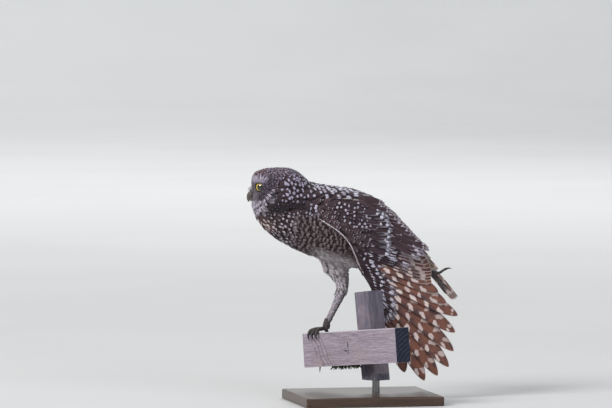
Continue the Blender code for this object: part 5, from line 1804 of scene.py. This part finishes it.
    def trailing(self, rng: np.random.Generator) -> Array:
        """Long pointed feathers whose pale-edged tips stand out in a jagged line along the back edge."""
        rows = []
        start, end = np.array((26.0, -35.5, 214.0)), np.array((78.5, -34.0, 161.0))
        inward = np.array((-0.72, 0.0, -0.69))
        for step, count in ((0.0, 13), (7.0, 12), (14.0, 11)):
            share = np.linspace(0.0, 1.0, count)[:, None] + rng.normal(0.0, 0.015, (count, 1))
            fall = np.radians(16.0 + 14.0 * share[:, 0] + rng.normal(0.0, 3.0, count))
            way = np.stack((np.cos(fall), np.zeros(count), -np.sin(fall)), 1)
            tip = start + (end - start) * share + inward * step + way * rng.normal(2.0, 1.6, (count, 1))
            length = (26.0 + 12.0 * share) * rng.normal(1.0, 0.06, (count, 1))
            tip = tip + self.wing.out * (1.0 + 0.12 * step)
            rows.append(
                self.row(tip - way * length + self.wing.out * 2.5, tip, self.ruffle.half, self.ruffle, rng)
            )
        return np.concatenate(rows)

    def front_line(self, rng: np.random.Generator) -> Array:
        """The thin pale line of tiny feathers along the leading edge, from the shoulder to the wrist."""
        edge = np.array([s[0] for s in self.wing.core])
        places = np.linspace(0.5, 5.6, 64) + rng.normal(0.0, 0.02, 64)
        root = between(edge, places) + self.wing.out * rng.uniform(0.9, 1.9, (64, 1))
        way = unit(between(edge, places + 0.1) - between(edge, places))
        return self.row(root, root + way * 5.0 + self.wing.out * 0.4, self.edging.half, self.edging, rng)

    def _heights(self) -> tuple[list[float], list[float]]:
        """The leading edge's heights and the stations they belong to, lowest first."""
        heights = [s[0][2] for s in self.wing.core]
        order = sorted(range(len(heights)), key=lambda k: heights[k])
        return [heights[k] for k in order], [float(k) for k in order]

    def shoulders(self, rng: np.random.Generator) -> Array:
        """Broad scapulars that hang back over the wing's upper edge, with large pale spots."""
        wing = self.wing
        inner = np.array([s[1] for s in wing.core[1:5]])
        rows = []
        for step, (down, length) in enumerate(((0.0, 27.0), (7.0, 30.0), (14.0, 30.0))):
            count = 11 - step
            start = between(inner, np.linspace(0.0, 2.9, count)) + np.array((-9.0, 0.0, -4.0 - down))
            fall = np.radians(17.0 + rng.normal(0.0, 3.0, count))
            way = np.stack((np.cos(fall), np.zeros(count), -np.sin(fall)), 1)
            root = start + wing.out * (2.6 - step * 0.3)
            made = self.row(
                root, start + way * length + wing.out * (4.2 - step * 0.5), self.scapular.half,
                self.scapular, rng
            )
            made["spot"][:4, 2:] *= 1.6
            rows.append(made)
        return np.concatenate(rows)

    def build(
        self, plumage: bpy.types.Material, flight: bpy.types.Material, down: bpy.types.Material
    ) -> list[bpy.types.Object]:
        """Builds every piece of the wing.

        Args:
            plumage: the small feathers' finish.
            flight: the flight feathers' finish.
            down: the core's finish.

        Returns:
            The pieces, the flight feathers first.
        """
        wing = self.wing
        rng = wing.rng
        flights = wing.remiges(flight)
        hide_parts(f"wing_{wing.side.name.lower()}")
        core = wing.flesh(down)
        tiers = [
            wing.tier("secondary", 0.78, 0.0, (1.2, 2.4), 6.4, self.cover, 15),
            wing.tier("secondary", 0.52, -0.02, (2.0, 3.6), 5.8, self.middle, 16),
            wing.tier("secondary", 0.34, -0.08, (2.8, 4.4), 5.2, self.middle, 18),
            wing.tier("secondary", 0.2, -0.14, (3.2, 5.0), 4.6, self.middle, 20),
        ]
        if wing.side is Side.LEFT:
            tiers += [
                wing.tier("primary", 0.36, 0.0, (1.4, 3.0), 5.6, self.cover, 12),
                wing.tier("primary", 0.22, -0.03, (2.2, 3.8), 4.8, self.middle, 14),
                wing.tier("primary", 0.12, -0.07, (2.8, 4.2), 4.0, self.middle, 17),
            ]
        plumes = Plumes(wing.layout, Prototype.ragged(8, 6, 0.05), soft_outline, 0.2, 0.2)
        coverts = plumes.spread(np.concatenate(tiers), wing.name("coverts"), plumage, "dark_plumage")
        fine = Plumes(wing.layout, Prototype.ragged(6, 3, 0.1), soft_outline, 0.16, 0.25)
        lesser = [self.small(core, rng)]
        upper = [self.shoulders(rng)]
        if wing.side is Side.LEFT:
            lesser.append(self.front_line(rng))
            upper.append(self.trailing(rng))
        small = fine.spread(np.concatenate(lesser), wing.name("small_coverts"), plumage, "dark_plumage")
        shoulders = plumes.spread(np.concatenate(upper), wing.name("scapulars"), plumage, "dark_plumage")
        return [flights, core, coverts, small, shoulders]


@dataclass
class Tail:
    """Twelve banded tail feathers fanned from the rump, with coverts over and under their roots."""

    layout: Layout
    root: tuple[float, float, float] = (61.0, 4.5, 168.0)
    length: float = 82.0
    fall: float = math.radians(47.0)
    fan: float = math.radians(13.0)
    roll: float = math.radians(18.0)
    feathers: int = 12
    width: float = 17.0
    layers: float = 1.9
    seed: int = 23

    def axes(self) -> tuple[Array, Array, Array]:
        """The tail's own length, side and upward directions."""
        axis = np.array((math.cos(self.fall), 0.0, -math.sin(self.fall)))
        turn = np.array(Matrix.Rotation(self.roll, 3, Vector(axis)))
        up = turn @ np.array((math.sin(self.fall), 0.0, math.cos(self.fall)))
        return axis, turn @ np.array((0.0, 1.0, 0.0)), up

    def row(
        self, count: int, share_long: float, spread: float, lift: tuple[float, float], half: float
    ) -> Array:
        """One fanned row.

        Args:
            count: how many feathers.
            share_long: their share of the tail's length.
            spread: how wide the row fans, as a share of the tail's fan.
            lift: how far root and tip stand above the tail feathers.
            half: half width.

        Returns:
            The feathers.
        """
        axis, side, up = self.axes()
        share = np.linspace(-1.0, 1.0, count)[:, None]
        way = axis * np.cos(share * self.fan * spread) + side * np.sin(share * self.fan * spread)
        layer = up * (self.layers * (1.0 - 2.0 * np.abs(share)))
        made = np.zeros(count, FEATHER)
        root = np.array(self.root) + side * share * 5.0
        made["root"] = root + layer * 0.6 + up * lift[0]
        made["tip"] = root - side * share * 5.0 + way * (
            self.length * share_long - 3.0 * share**2
        ) + layer + up * lift[1]
        made["middle"] = (made["root"] + made["tip"]) / 2.0 + up * 0.8
        made["up_root"] = made["up_tip"] = up
        lead, trail = half * 0.72, half * 1.28
        inward = share[:, 0] > 0
        made["lead"] = np.where(inward, trail, lead)
        made["trail"] = np.where(inward, lead, trail)
        made["camber"], made["roll"] = 0.06, np.where(inward, 0.06, -0.06)
        made["hand"] = np.where(inward, -1.0, 1.0)
        return made

    def build(self, plumage: bpy.types.Material, flight: bpy.types.Material) -> list[bpy.types.Object]:
        """Builds the tail's pieces."""
        rng = np.random.default_rng(self.seed)
        main = self.row(self.feathers, 1.0, 1.0, (0.0, 0.0), self.width / 2.0)
        main["ground"] = rng.normal(0.9, 0.04, (self.feathers, 1))
        main["bars"][:, :3] = np.stack(
            (rng.uniform(-0.1, 0.1, self.feathers), np.ones(self.feathers), np.full(self.feathers, 0.9)),
            1
        )
        Wing.atlas(main)
        blades = Plumes(self.layout, Prototype.blade(10, 34), flight_outline, 0.22)
        made = blades.spread(main, "tail_feathers", flight, "flight_feather")
        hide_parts("tail")
        tracts = (
            (
                9, 0.56, 1.1, (2.0, 4.4), 6.4,
                Tract(
                    0, 0, 0, 0, srgb(92, 68, 62), srgb(210, 190, 176), (0.0, 0.9, 0.7, 0.05),
                    (0.5, 3.0, 0.3, 0.5)
                )
            ),
            (
                9, 0.38, 1.3, (3.4, 6.2), 6.0,
                Tract(
                    0, 0, 0, 0, srgb(78, 58, 56), srgb(206, 190, 180), (0.4, 0.86, 0.3, 0.07),
                    (0.0, 1.0, 0.0, 0.4)
                )
            ),
            (
                8, 0.52, 1.0, (-3.0, -3.4), 6.2,
                Tract(0, 0, 0, 0, srgb(214, 204, 194), srgb(176, 160, 150), (0.0, 0.9, 0.2, 0.05), NO_BARS)
            ),
            (
                8, 0.34, 1.2, (-4.4, -5.6), 5.8,
                Tract(0, 0, 0, 0, srgb(216, 208, 200), srgb(176, 160, 150), (0.0, 0.9, 0.2, 0.05), NO_BARS)
            ),
        )
        rows = []
        for count, share_long, spread, lift, half, tract in tracts:
            cover = self.row(count, share_long, spread, lift, half)
            if lift[0] < 0:
                cover["up_root"] = cover["up_tip"] = -self.axes()[2]
                cover["middle"] -= self.axes()[2] * 1.6
            cover["ground"] = np.array(tract.ground) * rng.normal(1.0, 0.08, (count, 1))
            cover["mark"], cover["spot"], cover["bars"] = tract.mark, tract.spot, tract.bars
            cover["patch"][:, :2] = (0.5, 0.99)
            cover["patch"][:, 0] = 0.1 + 0.8 * np.arange(count) / count + 0.04 * len(rows)
            cover["patch"][:, 2:] = 0.003
            rows.append(cover)
        plumes = Plumes(self.layout, Prototype.ragged(8, 6, 0.05), soft_outline, 0.2, 0.2)
        coverts = plumes.spread(np.concatenate(rows), "tail_coverts", plumage, "dark_plumage")
        return [made, coverts]


@dataclass
class Face:
    """Eyes with lids, the hooked bill and the bristles round it."""

    layout: Layout
    gaze_out: float = math.radians(64.0)
    lid_out: float = math.radians(50.0)
    bill_top: tuple = (
        (23.0, -4.6, 5.0, 5.0), (27.5, -4.8, 4.6, 4.6), (30.6, -5.8, 3.9, 3.8),
        (32.8, -8.0, 3.0, 2.9), (33.9, -10.8, 1.9, 1.8), (33.6, -14.2, 0.5, 0.45),
    )
    bill_low: tuple = (
        (21.5, -11.0, 4.4, 2.8), (26.5, -11.0, 3.8, 2.6), (30.0, -11.6, 2.7, 2.0), (32.2, -12.9, 1.2, 0.9),
    )

    def way(self, side: Side, out: float, up: float = 0.08) -> Array:
        """The direction out of one eye."""
        place = head_point(math.cos(out), math.sin(out) * side.value, up) - HEAD_CENTRE
        return place / np.linalg.norm(place)

    def eye(self, side: Side) -> bpy.types.Object:
        """One eyeball with its clear bulge in front."""
        bm = bmesh.new()
        bmesh.ops.create_uvsphere(bm, u_segments=48, v_segments=32, radius=1.0)
        way = self.way(side, self.gaze_out, 0.0)
        centre = head_point(EYE[0], EYE[1] * side.value, EYE[2])
        turn = np.array(Vector(way).to_track_quat("Z", "Y").to_matrix())
        for vert in bm.verts:
            bulge = 0.35 * math.exp(-(((1.0 - vert.co.z) / 0.16) ** 2))
            place = np.array(vert.co) * (EYE_RADIUS + bulge)
            vert.co = Vector(centre + turn @ place)
        glaze = EyeGlaze(
            f"eye_glaze_{side.name.lower()}", tuple(self.layout.place(centre)), tuple(way), 2.9, 6.2
        )
        name = f"eye_{side.name.lower()}"
        made = self.layout.piece(bm, f"{name}_ball", glaze.make(), "eye")
        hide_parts(name)
        return made

    def lids(self, side: Side, finish: bpy.types.Material) -> bpy.types.Object:
        """The two lids as one band of skin round a flat-topped opening."""
        around, outward = 48, 7
        bm = bmesh.new()
        bmesh.ops.create_grid(bm, x_segments=around, y_segments=outward, size=1.0)
        way = self.way(side, self.lid_out)
        centre = head_point(EYE[0], EYE[1] * side.value, EYE[2])
        right = np.cross(way, UP)
        right /= np.linalg.norm(right)
        top = np.cross(right, way)
        for vert in bm.verts:
            angle, share = (vert.co.x + 1.0) * math.pi, (vert.co.y + 1.0) / 2.0
            rise, along = math.sin(angle), math.cos(angle)
            flat = math.radians(25.0) / max(abs(rise), 0.5)
            opening = min(math.radians(36.0), flat if rise > 0 else math.radians(31.0) / max(abs(rise), 0.75))
            tilt = opening + share * (math.radians(74.0) - opening)
            rim = 0.45 * math.exp(-((share / 0.22) ** 2))
            reach = EYE_RADIUS + 0.35 + rim - 0.2 * share
            place = way * math.cos(tilt) + (right * along + top * rise) * math.sin(tilt)
            vert.co = Vector(centre + place * reach)
        bmesh.ops.remove_doubles(bm, verts=bm.verts[:], dist=1e-4)
        bm.normal_update()
        bmesh.ops.recalc_face_normals(bm, faces=bm.faces[:])
        bmesh.ops.solidify(bm, geom=bm.faces[:] + bm.edges[:] + bm.verts[:], thickness=0.45)
        return self.layout.piece(bm, f"eyelids_{side.name.lower()}", finish, "toe_skin")

    def bill(self, finish: bpy.types.Material) -> list[bpy.types.Object]:
        """The two halves of the bill, the upper with its nostrils pressed in."""
        made = []
        for name, stations in (("bill_upper", self.bill_top), ("bill_lower", self.bill_low)):
            path = np.array([head_point(f, 0.0, u) for f, u, _, _ in stations])
            wide = np.array([s[2] for s in stations])
            deep = np.array([s[3] for s in stations])
            bm = sweep(path, wide, deep, LEFTWARD, 32, 40)
            if name == "bill_upper":
                for vert in bm.verts:
                    place = np.array(vert.co)
                    for side in Side:
                        away = np.linalg.norm(place - head_point(32.4, 3.2 * side.value, -4.0))
                        place += (head_point(30.0, 0.0, -5.0) - place) * (
                            0.35 * math.exp(-((away / 0.9) ** 2))
                        )
                    vert.co = Vector(place)
            piece = self.layout.piece(bm, f"{name}_horn", finish, "bill_horn")
            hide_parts(name)
            made.append(piece)
        return made

    def brows(self, finish: bpy.types.Material) -> bpy.types.Object:
        """Pale brow feathers that lie back over each eye in a flat shelf, with a dark tuft in front."""
        rng = np.random.default_rng(37)
        made = np.zeros(2 * 66, FEATHER)
        for index in range(len(made)):
            side = Side.LEFT if index % 2 else Side.RIGHT
            share, row = rng.random(), rng.integers(0, 3)
            start = np.array(
                (27.5 - 13.0 * share, 8.6 + 3.4 * math.sin(share * 2.4) - 0.5 * row, 6.4 + 1.5 * row)
            )
            aim = unit(np.array((-1.0, 0.45 - 0.3 * share, 0.12 - 0.2 * share)) + rng.normal(0.0, 0.12, 3))
            tip = start + aim * rng.uniform(4.6, 6.4)
            root, end = (head_point(p[0], p[1] * side.value, p[2]) for p in (start, tip))
            outward = LEFTWARD * side.value + UP * 0.8
            made[index]["root"], made[index]["tip"] = root, end
            made[index]["middle"] = (root + end) / 2.0 + unit(outward) * 0.5
            made[index]["up_root"] = made[index]["up_tip"] = unit(outward)
            dark = share < 0.1
            made[index]["ground"] = srgb(70, 54, 64) if dark else srgb(
                *(rng.uniform(150, 190) + np.array((0, -6, 10)))
            )
        made["lead"] = made["trail"] = 0.75
        made["mark"] = srgb(112, 100, 114)
        made["spot"], made["camber"], made["hand"] = NO_SPOT, 0.2, 1.0
        made["patch"] = (0.35, 0.03, 0.003, 0.003)
        soft = Plumes(self.layout, Prototype.ragged(4, 3, 0.12), soft_outline, 0.14, 0.2)
        return soft.spread(made, "brow_feathers", finish, "dark_plumage")

    def bristles(self, finish: bpy.types.Material) -> bpy.types.Object:
        """Fine stiff bristles that fan from the lores over the bill's base."""
        rng = np.random.default_rng(31)
        parts = []
        for side in Side:
            for _ in range(46):
                start = np.array((rng.uniform(25.0, 29.0), rng.uniform(3.0, 8.0), rng.uniform(-10.0, 2.0)))
                reach = rng.uniform(5.0, 8.5)
                aim = np.array((1.0, rng.uniform(0.0, 0.5), rng.uniform(-0.9, 0.1)))
                aim = aim / np.linalg.norm(aim)
                droop = np.array((0.0, 0.0, -1.0)) * reach * 0.2
                steps = [start, start + aim * reach * 0.5 - droop * 0.1, start + aim * reach + droop]
                path = np.array([head_point(p[0], p[1] * side.value, p[2]) for p in steps])
                parts.append(
                    sweep(path, np.array((0.22, 0.16, 0.04)), np.array((0.22, 0.16, 0.04)), UP, 4, 6)
                )
        return self.layout.piece(joined(parts), "bill_bristles", finish, "pale_plumage")


@dataclass
class Perch:
    """The T of weathered board that the owl grips, in the bar's own frame."""

    layout: Layout
    spot: tuple[float, float, float] = (-29.0, 0.0, 73.0)
    yaw: float = math.radians(30.0)
    bar_roll: float = math.radians(5.5)
    stake_roll: float = math.radians(7.5)
    length: float = 148.0
    far_end: float = 25.0
    thick: float = 20.0
    height: float = 37.0
    front: float = 12.0
    stake_side: float = 21.5
    stake_near: float = 63.0
    gap: float = 0.3

    def axes(self, roll: float) -> tuple[Array, Array, Array]:
        """Out over the front edge, along to the near end and up, as unit vectors."""
        front = np.array((-math.cos(self.yaw), -math.sin(self.yaw), 0.0))
        near = np.array((math.sin(self.yaw), -math.cos(self.yaw), 0.0))
        return front, near * math.cos(roll) + UP * math.sin(roll), UP * math.cos(roll) - near * math.sin(roll)

    def point(self, out: float, along: float, up: float, roll: float | None = None) -> Array:
        """A place in the bar's frame."""
        front, near, rise = self.axes(self.bar_roll if roll is None else roll)
        return np.array(self.spot) + front * out + near * along + rise * up

    def turn(self, roll: float) -> Matrix:
        """The frame's axes as a rotation: x out, y along, z up."""
        front, near, rise = self.axes(roll)
        return Matrix((front, near, rise)).transposed()

    def finishes(self) -> tuple[bpy.types.Material, bpy.types.Material]:
        """The bar's and the stake's wood."""
        middle = self.length / 2.0 - self.far_end
        bar = WeatheredBoard(
            "bar_wood", tuple(self.layout.place(self.point(2.0, middle, 0.0))), self.turn(self.bar_roll),
            self.length / 2.0 * MM, knot=-0.052,
        )
        behind = self.front - self.thick - self.gap - self.stake_side / 2.0
        stake = WeatheredBoard(
            "stake_wood",
            tuple(
                self.layout.place(
                    self.point(behind, self.stake_near - self.stake_side / 2.0, -6.0, self.stake_roll)
                )
            ),
            self.turn(self.stake_roll), 0.045,
            srgb(138, 131, 144), srgb(76, 72, 86), srgb(110, 106, 116), True,
        )
        return bar.make(), stake.make()

    def fringe(self, finish: bpy.types.Material) -> bpy.types.Object:
        """Torn fibres and lichen that hang from the bar's lower edge beside the stake."""
        rng = np.random.default_rng(41)
        parts = []
        for _ in range(150):
            along = rng.uniform(18.0, 60.0)
            start = self.point(rng.uniform(6.0, 11.0), along, -self.height + 0.6)
            reach = rng.uniform(2.0, 5.5)
            swing = np.array((rng.normal(0, 0.5), rng.normal(0, 0.5), -1.0)) * reach
            middle = start + swing * 0.5 + np.array((rng.normal(0, 0.6), rng.normal(0, 0.6), 0.0))
            path = np.array((start, middle, start + swing))
            thick = np.array((0.55, 0.45, 0.1)) * rng.uniform(0.6, 1.3)
            parts.append(sweep(path, thick, thick, np.array((1.0, 0.0, 0.0)), 4, 6))
        return self.layout.piece(joined(parts), "bar_fringe", finish, "weathered_wood")

    def nail(self, finish: bpy.types.Material) -> bpy.types.Object:
        """The point of a nail that comes through the bar's underside."""
        top, tip = self.point(3.0, -9.0, -self.height + 2.0), self.point(4.0, -9.4, -self.height - 6.5)
        path = np.array((top, (top + tip) / 2.0, tip))
        bm = sweep(
            path, np.array((0.75, 0.7, 0.1)), np.array((0.75, 0.7, 0.1)), np.array((1.0, 0.0, 0.0)), 10,
            14
        )
        return self.layout.piece(bm, "bar_nail", finish, "stand_steel")


@dataclass
class Feet:
    """Both feet: knuckled toes with scutes and black hooked claws."""

    layout: Layout
    perch: Perch
    toe_radii: tuple[float, ...] = (2.5, 2.3, 2.5, 2.0, 2.3, 1.8)
    claw_radii: tuple[float, ...] = (1.75, 1.35, 0.8, 0.15)
    heel: tuple[float, float, float] = (84.4, -20.0, 136.0)

    def toe(
        self, points: list[Array], scale: float, across: Array
    ) -> tuple[bmesh.types.BMesh, bmesh.types.BMesh]:
        """One toe and its claw.

        Args:
            points: from the pad to the claw's tip.
            scale: thickness against the standing foot's front toes.
            across: the toe's width direction.

        Returns:
            The toe and the claw.
        """
        path = np.array(points)
        spans = len(path) - 1
        skin = between(path, np.linspace(0.0, spans * 0.62, len(self.toe_radii)))
        claw = between(path, np.linspace(spans * 0.55, spans, len(self.claw_radii)))
        radii = np.array(self.toe_radii) * scale
        hook = np.array(self.claw_radii) * scale
        return sweep(
            skin, radii, radii * 0.92, across, 16, 34
        ), sweep(claw, hook * 0.85, hook, across, 14, 22)

    def standing(self) -> list[tuple[bmesh.types.BMesh, bmesh.types.BMesh]]:
        """Three toes over the bar's front edge and one over its back."""
        point, front = self.perch.point, self.perch.front
        across = self.perch.axes(self.perch.bar_roll)[1]
        toes = []
        for spread in (-10.5, -4.5, 1.5):
            stations = (
                (0.0, 0.0, 4.2), (6.0, spread * 0.35, 3.8), (front - 1.0, spread * 0.8, 3.3),
                (front + 3.2, spread, -0.2), (front + 4.0, spread * 1.02, -4.0),
                (front + 2.4, spread * 1.04, -8.8)
            )
            toes.append(self.toe([point(*s) for s in stations], 1.0, across))
        back = front - self.perch.thick
        stations = (
            (0.0, 0.0, 4.2), (-4.0, -4.0, 3.6), (back + 0.5, -8.0, 3.1), (back - 3.0, -10.0, -0.4),
            (back - 3.4, -10.5, -3.6), (back - 2.0, -11.0, -7.6)
        )
        toes.append(self.toe([point(*s) for s in stations], 0.95, across))
        return toes

    def raised(self) -> list[tuple[bmesh.types.BMesh, bmesh.types.BMesh]]:
        """The stretched foot's toes, half closed behind its heel."""
        base = np.array(self.heel) + np.array((3.0, 0.0, -0.6))
        toes = []
        hind = (
            (0, 0, 0), (5.0, -1.0, 1.6), (9.0, -1.6, 4.2), (12.5, -1.6, 5.8), (15.5, -1.2, 6.2),
            (18.0, -1.0, 5.2)
        )
        toes.append(self.toe([base + np.array(o) for o in hind], 0.66, np.array((0.0, 1.0, 0.0))))
        for long, side in ((1.0, -4.6), (0.9, -0.8), (0.8, 2.6)):
            drop = (
                (0, 0, 0), (3.0, side * 0.6, -5.5), (5.6, side, -11.5), (8.0, side, -17.0),
                (10.6, side * 0.9, -20.5), (13.4, side * 0.8, -21.4)
            )
            toes.append(self.toe([base + np.array(o) * long for o in drop], 0.72, np.array((0.0, 1.0, 0.0))))
        return toes

    def pad(self, start: Array, end: Array, radius: float) -> bmesh.types.BMesh:
        """The foot's sole and ankle, from the shank's end to the toes' roots."""
        path = np.array((start, (start * 2 + end) / 3, (start + end * 2) / 3, end))
        radii = np.array((radius * 0.6, radius * 0.86, radius * 1.04, radius * 0.9))
        return sweep(path, radii, radii, np.array((0.0, 1.0, 0.0)), 20, 24)

    def build(self, skin: bpy.types.Material, horn: bpy.types.Material) -> list[bpy.types.Object]:
        """Builds the toes and claws of both feet."""
        made = []
        spot = np.array(self.perch.spot)
        heel = np.array(self.heel)
        pads = {
            "foot_right": self.pad(spot + np.array((1.6, 0.0, 15.0)), spot + np.array((0.4, 0.0, 3.2)), 4.0),
            "foot_left": self.pad(heel - np.array((8.0, -1.2, -2.2)), heel + np.array((5.6, 0.0, -1.6)), 3.9),
        }
        for name, toes in (("foot_right", self.standing()), ("foot_left", self.raised())):
            piece = self.layout.piece(
                joined([pads[name]] + [toe for toe, _ in toes]), f"{name}_toes", skin, "toe_skin"
            )
            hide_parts(name)
            claws = self.layout.piece(joined([claw for _, claw in toes]), f"{name}_claws", horn, "toe_skin")
            made += [piece, claws]
        return made


@dataclass
class Studio:
    """Pale floor, soft lights and the photograph's camera."""

    layout: Layout
    azimuth: float = math.radians(-12.0)
    elevation: float = math.radians(3.0)
    scale: float = 1.08
    distance: float = 6000.0
    origin_px: tuple[float, float] = (352.0, 399.0)
    size_px: tuple[float, float] = (612.0, 408.0)
    flat: float = 8.0
    curve: float = 5.0

    def axes(self) -> tuple[Array, Array, Array]:
        """The camera's right, forward and up."""
        a, e = self.azimuth, self.elevation
        right = np.array((math.cos(a), math.sin(a), 0.0))
        forward = np.array((-math.sin(a) * math.cos(e), math.cos(a) * math.cos(e), -math.sin(e)))
        return right, forward, np.cross(right, forward)

    def camera(self) -> None:
        """Puts the camera where the photograph was taken from."""
        right, forward, up = self.axes()
        x = (self.size_px[0] / 2.0 - self.origin_px[0]) * self.scale
        z = (self.origin_px[1] - self.size_px[1] / 2.0) * self.scale
        place = right * x + up * z - forward * self.distance
        data = bpy.data.cameras.new("view")
        data.sensor_width = 36.0
        data.lens = 36.0 * self.distance / (self.size_px[0] * self.scale)
        data.clip_end = 100.0
        camera = bpy.data.objects.new("view", data)
        camera.location = self.layout.place(place)
        camera.rotation_euler = Vector(forward).to_track_quat("-Z", "Y").to_euler()
        bpy.context.scene.collection.objects.link(camera)
        bpy.context.scene.camera = camera

    def light(
        self, name: str, place: tuple[float, ...], power: float, size: float, colour: Colour,
        target: tuple[float, float, float] = (0.0, 0.0, 0.15),
    ) -> None:
        """One soft area light aimed at the owl, or at another target."""
        data = bpy.data.lights.new(name, "AREA")
        data.shape, data.size, data.energy, data.color = "DISK", size, power, colour
        lamp = bpy.data.objects.new(name, data)
        lamp.location = place
        lamp.rotation_euler = (Vector(target) - lamp.location).to_track_quat("-Z", "Y").to_euler()
        bpy.context.scene.collection.objects.link(lamp)

    def backdrop(self) -> None:
        """A pale floor that curves up into a wall all round, so that no edge shows behind the owl."""
        bm = bmesh.new()
        turn = [math.radians(angle) for angle in range(0, 91, 6)]
        profile = [(0.01, 0.0), (3.0, 0.0), (self.flat, 0.0)]
        profile += [
            (self.flat + self.curve * math.sin(a), self.curve * (1.0 - math.cos(a))) for a in turn[1:]
        ]
        line = [bm.verts.new((out, 0.0, up)) for out, up in profile]
        for first, second in zip(line, line[1:]):
            bm.edges.new((first, second))
        geometry = bm.verts[:] + bm.edges[:]
        bmesh.ops.spin(
            bm, geom=geometry, cent=(0, 0, 0), axis=(0, 0, 1), angle=2.0 * math.pi, steps=96,
            use_merge=True
        )
        bmesh.ops.contextual_create(bm, geom=[vert for vert in bm.verts if vert.co.xy.length < 0.02])
        bmesh.ops.recalc_face_normals(bm, faces=bm.faces[:])
        mesh = bpy.data.meshes.new("floor")
        bm.to_mesh(mesh)
        bm.free()
        mesh.shade_smooth()
        mesh.materials.append(Matt("floor_paint", srgb(204, 205, 206), srgb(214, 215, 216), 2.0, 0.9).make())
        floor = bpy.data.objects.new("floor", mesh)
        floor.location.z = -0.0005
        bpy.context.scene.collection.objects.link(floor)

    def build(self) -> None:
        """Sets floor, lights, world and camera."""
        self.backdrop()
        self.light("key", (-4.2, -2.2, 3.3), 270.0, 2.4, (1.0, 0.975, 0.95))
        self.light("wall_wash", (0.0, 6.0, 6.0), 330.0, 4.0, (1.0, 1.0, 1.0), (-1.0, 14.0, 0.0))
        self.light("fill", (2.4, -4.4, 2.2), 60.0, 3.0, (0.88, 0.93, 1.0))
        self.light("back", (1.6, 4.2, 3.6), 105.0, 3.0, (1.0, 0.99, 0.97))
        world = bpy.data.worlds.new("studio")
        world.use_nodes = True
        world.node_tree.nodes["Background"].inputs["Color"].default_value = (0.80, 0.82, 0.84, 1.0)
        world.node_tree.nodes["Background"].inputs["Strength"].default_value = 0.5
        bpy.context.scene.world = world
        bpy.context.scene.view_settings.view_transform = "Standard"
        self.camera()


def dress_node(node: bpy.types.Object, finish: bpy.types.Material) -> None:
    """Gives a kept solid its finish."""
    for slot in node.material_slots:
        slot.material = finish


def main() -> None:
    """Builds the owl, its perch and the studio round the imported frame."""
    logging.basicConfig(level=logging.INFO, format="%(message)s")
    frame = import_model()
    layout = Layout()
    pattern = Pattern()
    flesh = Flesh(layout, pattern)
    flesh.build(frame)
    plumage = BodyPlumage().make()
    pale = BodyPlumage("leg_plumage", 0.85).make()
    down = Downy("wing_down").make()
    Coat(layout, flesh, pattern).build(plumage, pale)
    left = Wing(
        layout, Side.LEFT, LEFT_CORE, (11.0, -37.0, 205.0), (-2.0, -34.0, 157.0), (23.0, -20.5, 112.0),
        (19.0, 21.5, 24.0, 26.0, 33.0, 40.0, 46.5, 53.0, 60.0, 69.0),
        (88.0, 95.0, 104.0, 117.0, 119.0, 125.0, 128.0, 122.0, 113.0, 90.0), (-26.0, -17.0),
        (17.0, 17.0, 17.0, 15.0, 12.0, 9.0, 7.0, 6.0, 5.0, 5.0),
        (21.5, 22.5, 23.5, 24.5, 25.5, 26.5, 27.0, 27.0), (87.0, 86.0, 85.0, 81.0, 75.0, 66.0, 56.0, 45.0),
        (-27.0, -33.0), (2.0, 0.0, 4.0), 2.0,
    )
    right = Wing(
        layout, Side.RIGHT, RIGHT_CORE, (10.0, 37.5, 200.0), (-50.0, 34.0, 189.0), (-10.0, 37.5, 169.0),
        (18.0, 19.5, 21.0, 22.5, 24.0, 26.0), (98.0, 108.0, 114.0, 117.0, 115.0, 106.0), (24.0, 20.0),
        (6.0,) * 6, (20.0, 19.5, 19.0, 19.0, 19.0, 18.5, 18.0),
        (92.0, 92.0, 90.0, 86.0, 80.0, 72.0, 62.0), (25.0, 27.0), (10.0, 2.0, 2.0), 3.0, seed=13,
    )
    for wing, flight in (
        (left, FlightPlumage("stretched_flight")),
        (right, FlightPlumage("folded_flight", umber=srgb(74, 52, 50))),
    ):
        WingPlumage(wing).build(plumage, flight.make(), down)
    Tail(layout).build(
        plumage, FlightPlumage("tail_plumage", period=13.0, first=11.0, duty=0.36, slant=0.1).make()
    )
    face = Face(layout)
    lid_skin = ToeSkin("lid_skin", srgb(30, 26, 30), srgb(70, 62, 68), 1400.0).make()
    for side in Side:
        face.eye(side)
        face.lids(side, lid_skin)
    bill_tip = tuple(layout.place(head_point(35.0, 0.0, -14.0)))
    face.brows(plumage)
    face.bill(Horn("bill_keratin", srgb(62, 59, 57), srgb(92, 86, 76), bill_tip, 0.012).make())
    face.bristles(Matt("bristle", srgb(70, 62, 66), srgb(150, 142, 146), 300.0).make())
    perch = Perch(layout)
    claw = Horn("claw_keratin", srgb(22, 20, 22), srgb(34, 31, 33), (0.0, 0.0, 0.0), 0.01, 0.28)
    Feet(layout, perch).build(ToeSkin().make(), claw.make())
    bar_wood, stake_wood = perch.finishes()
    dress_node(frame["nodes"]["perch_crossbar"], bar_wood)
    dress_node(frame["nodes"]["perch_stake"], stake_wood)
    dress_node(frame["nodes"]["stand_base"], Lacquer().make())
    steel = BrushedSteel().make()
    dress_node(frame["nodes"]["stand_rod"], steel)
    perch.fringe(Matt("fringe_fibre", srgb(38, 36, 34), srgb(70, 72, 58), 260.0).make())
    perch.nail(BrushedSteel("nail_steel", srgb(104, 98, 96), 0.5).make())
    Studio(layout).build()
    total = sum(
        len(thing.data.loop_triangles) for thing in bpy.data.objects
        if thing.type == "MESH" and not thing.hide_render and thing.data.calc_loop_triangles() is None
    )
    LOG.info("shown triangles: %d", total)
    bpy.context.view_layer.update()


if __name__ == "__main__":
    main()
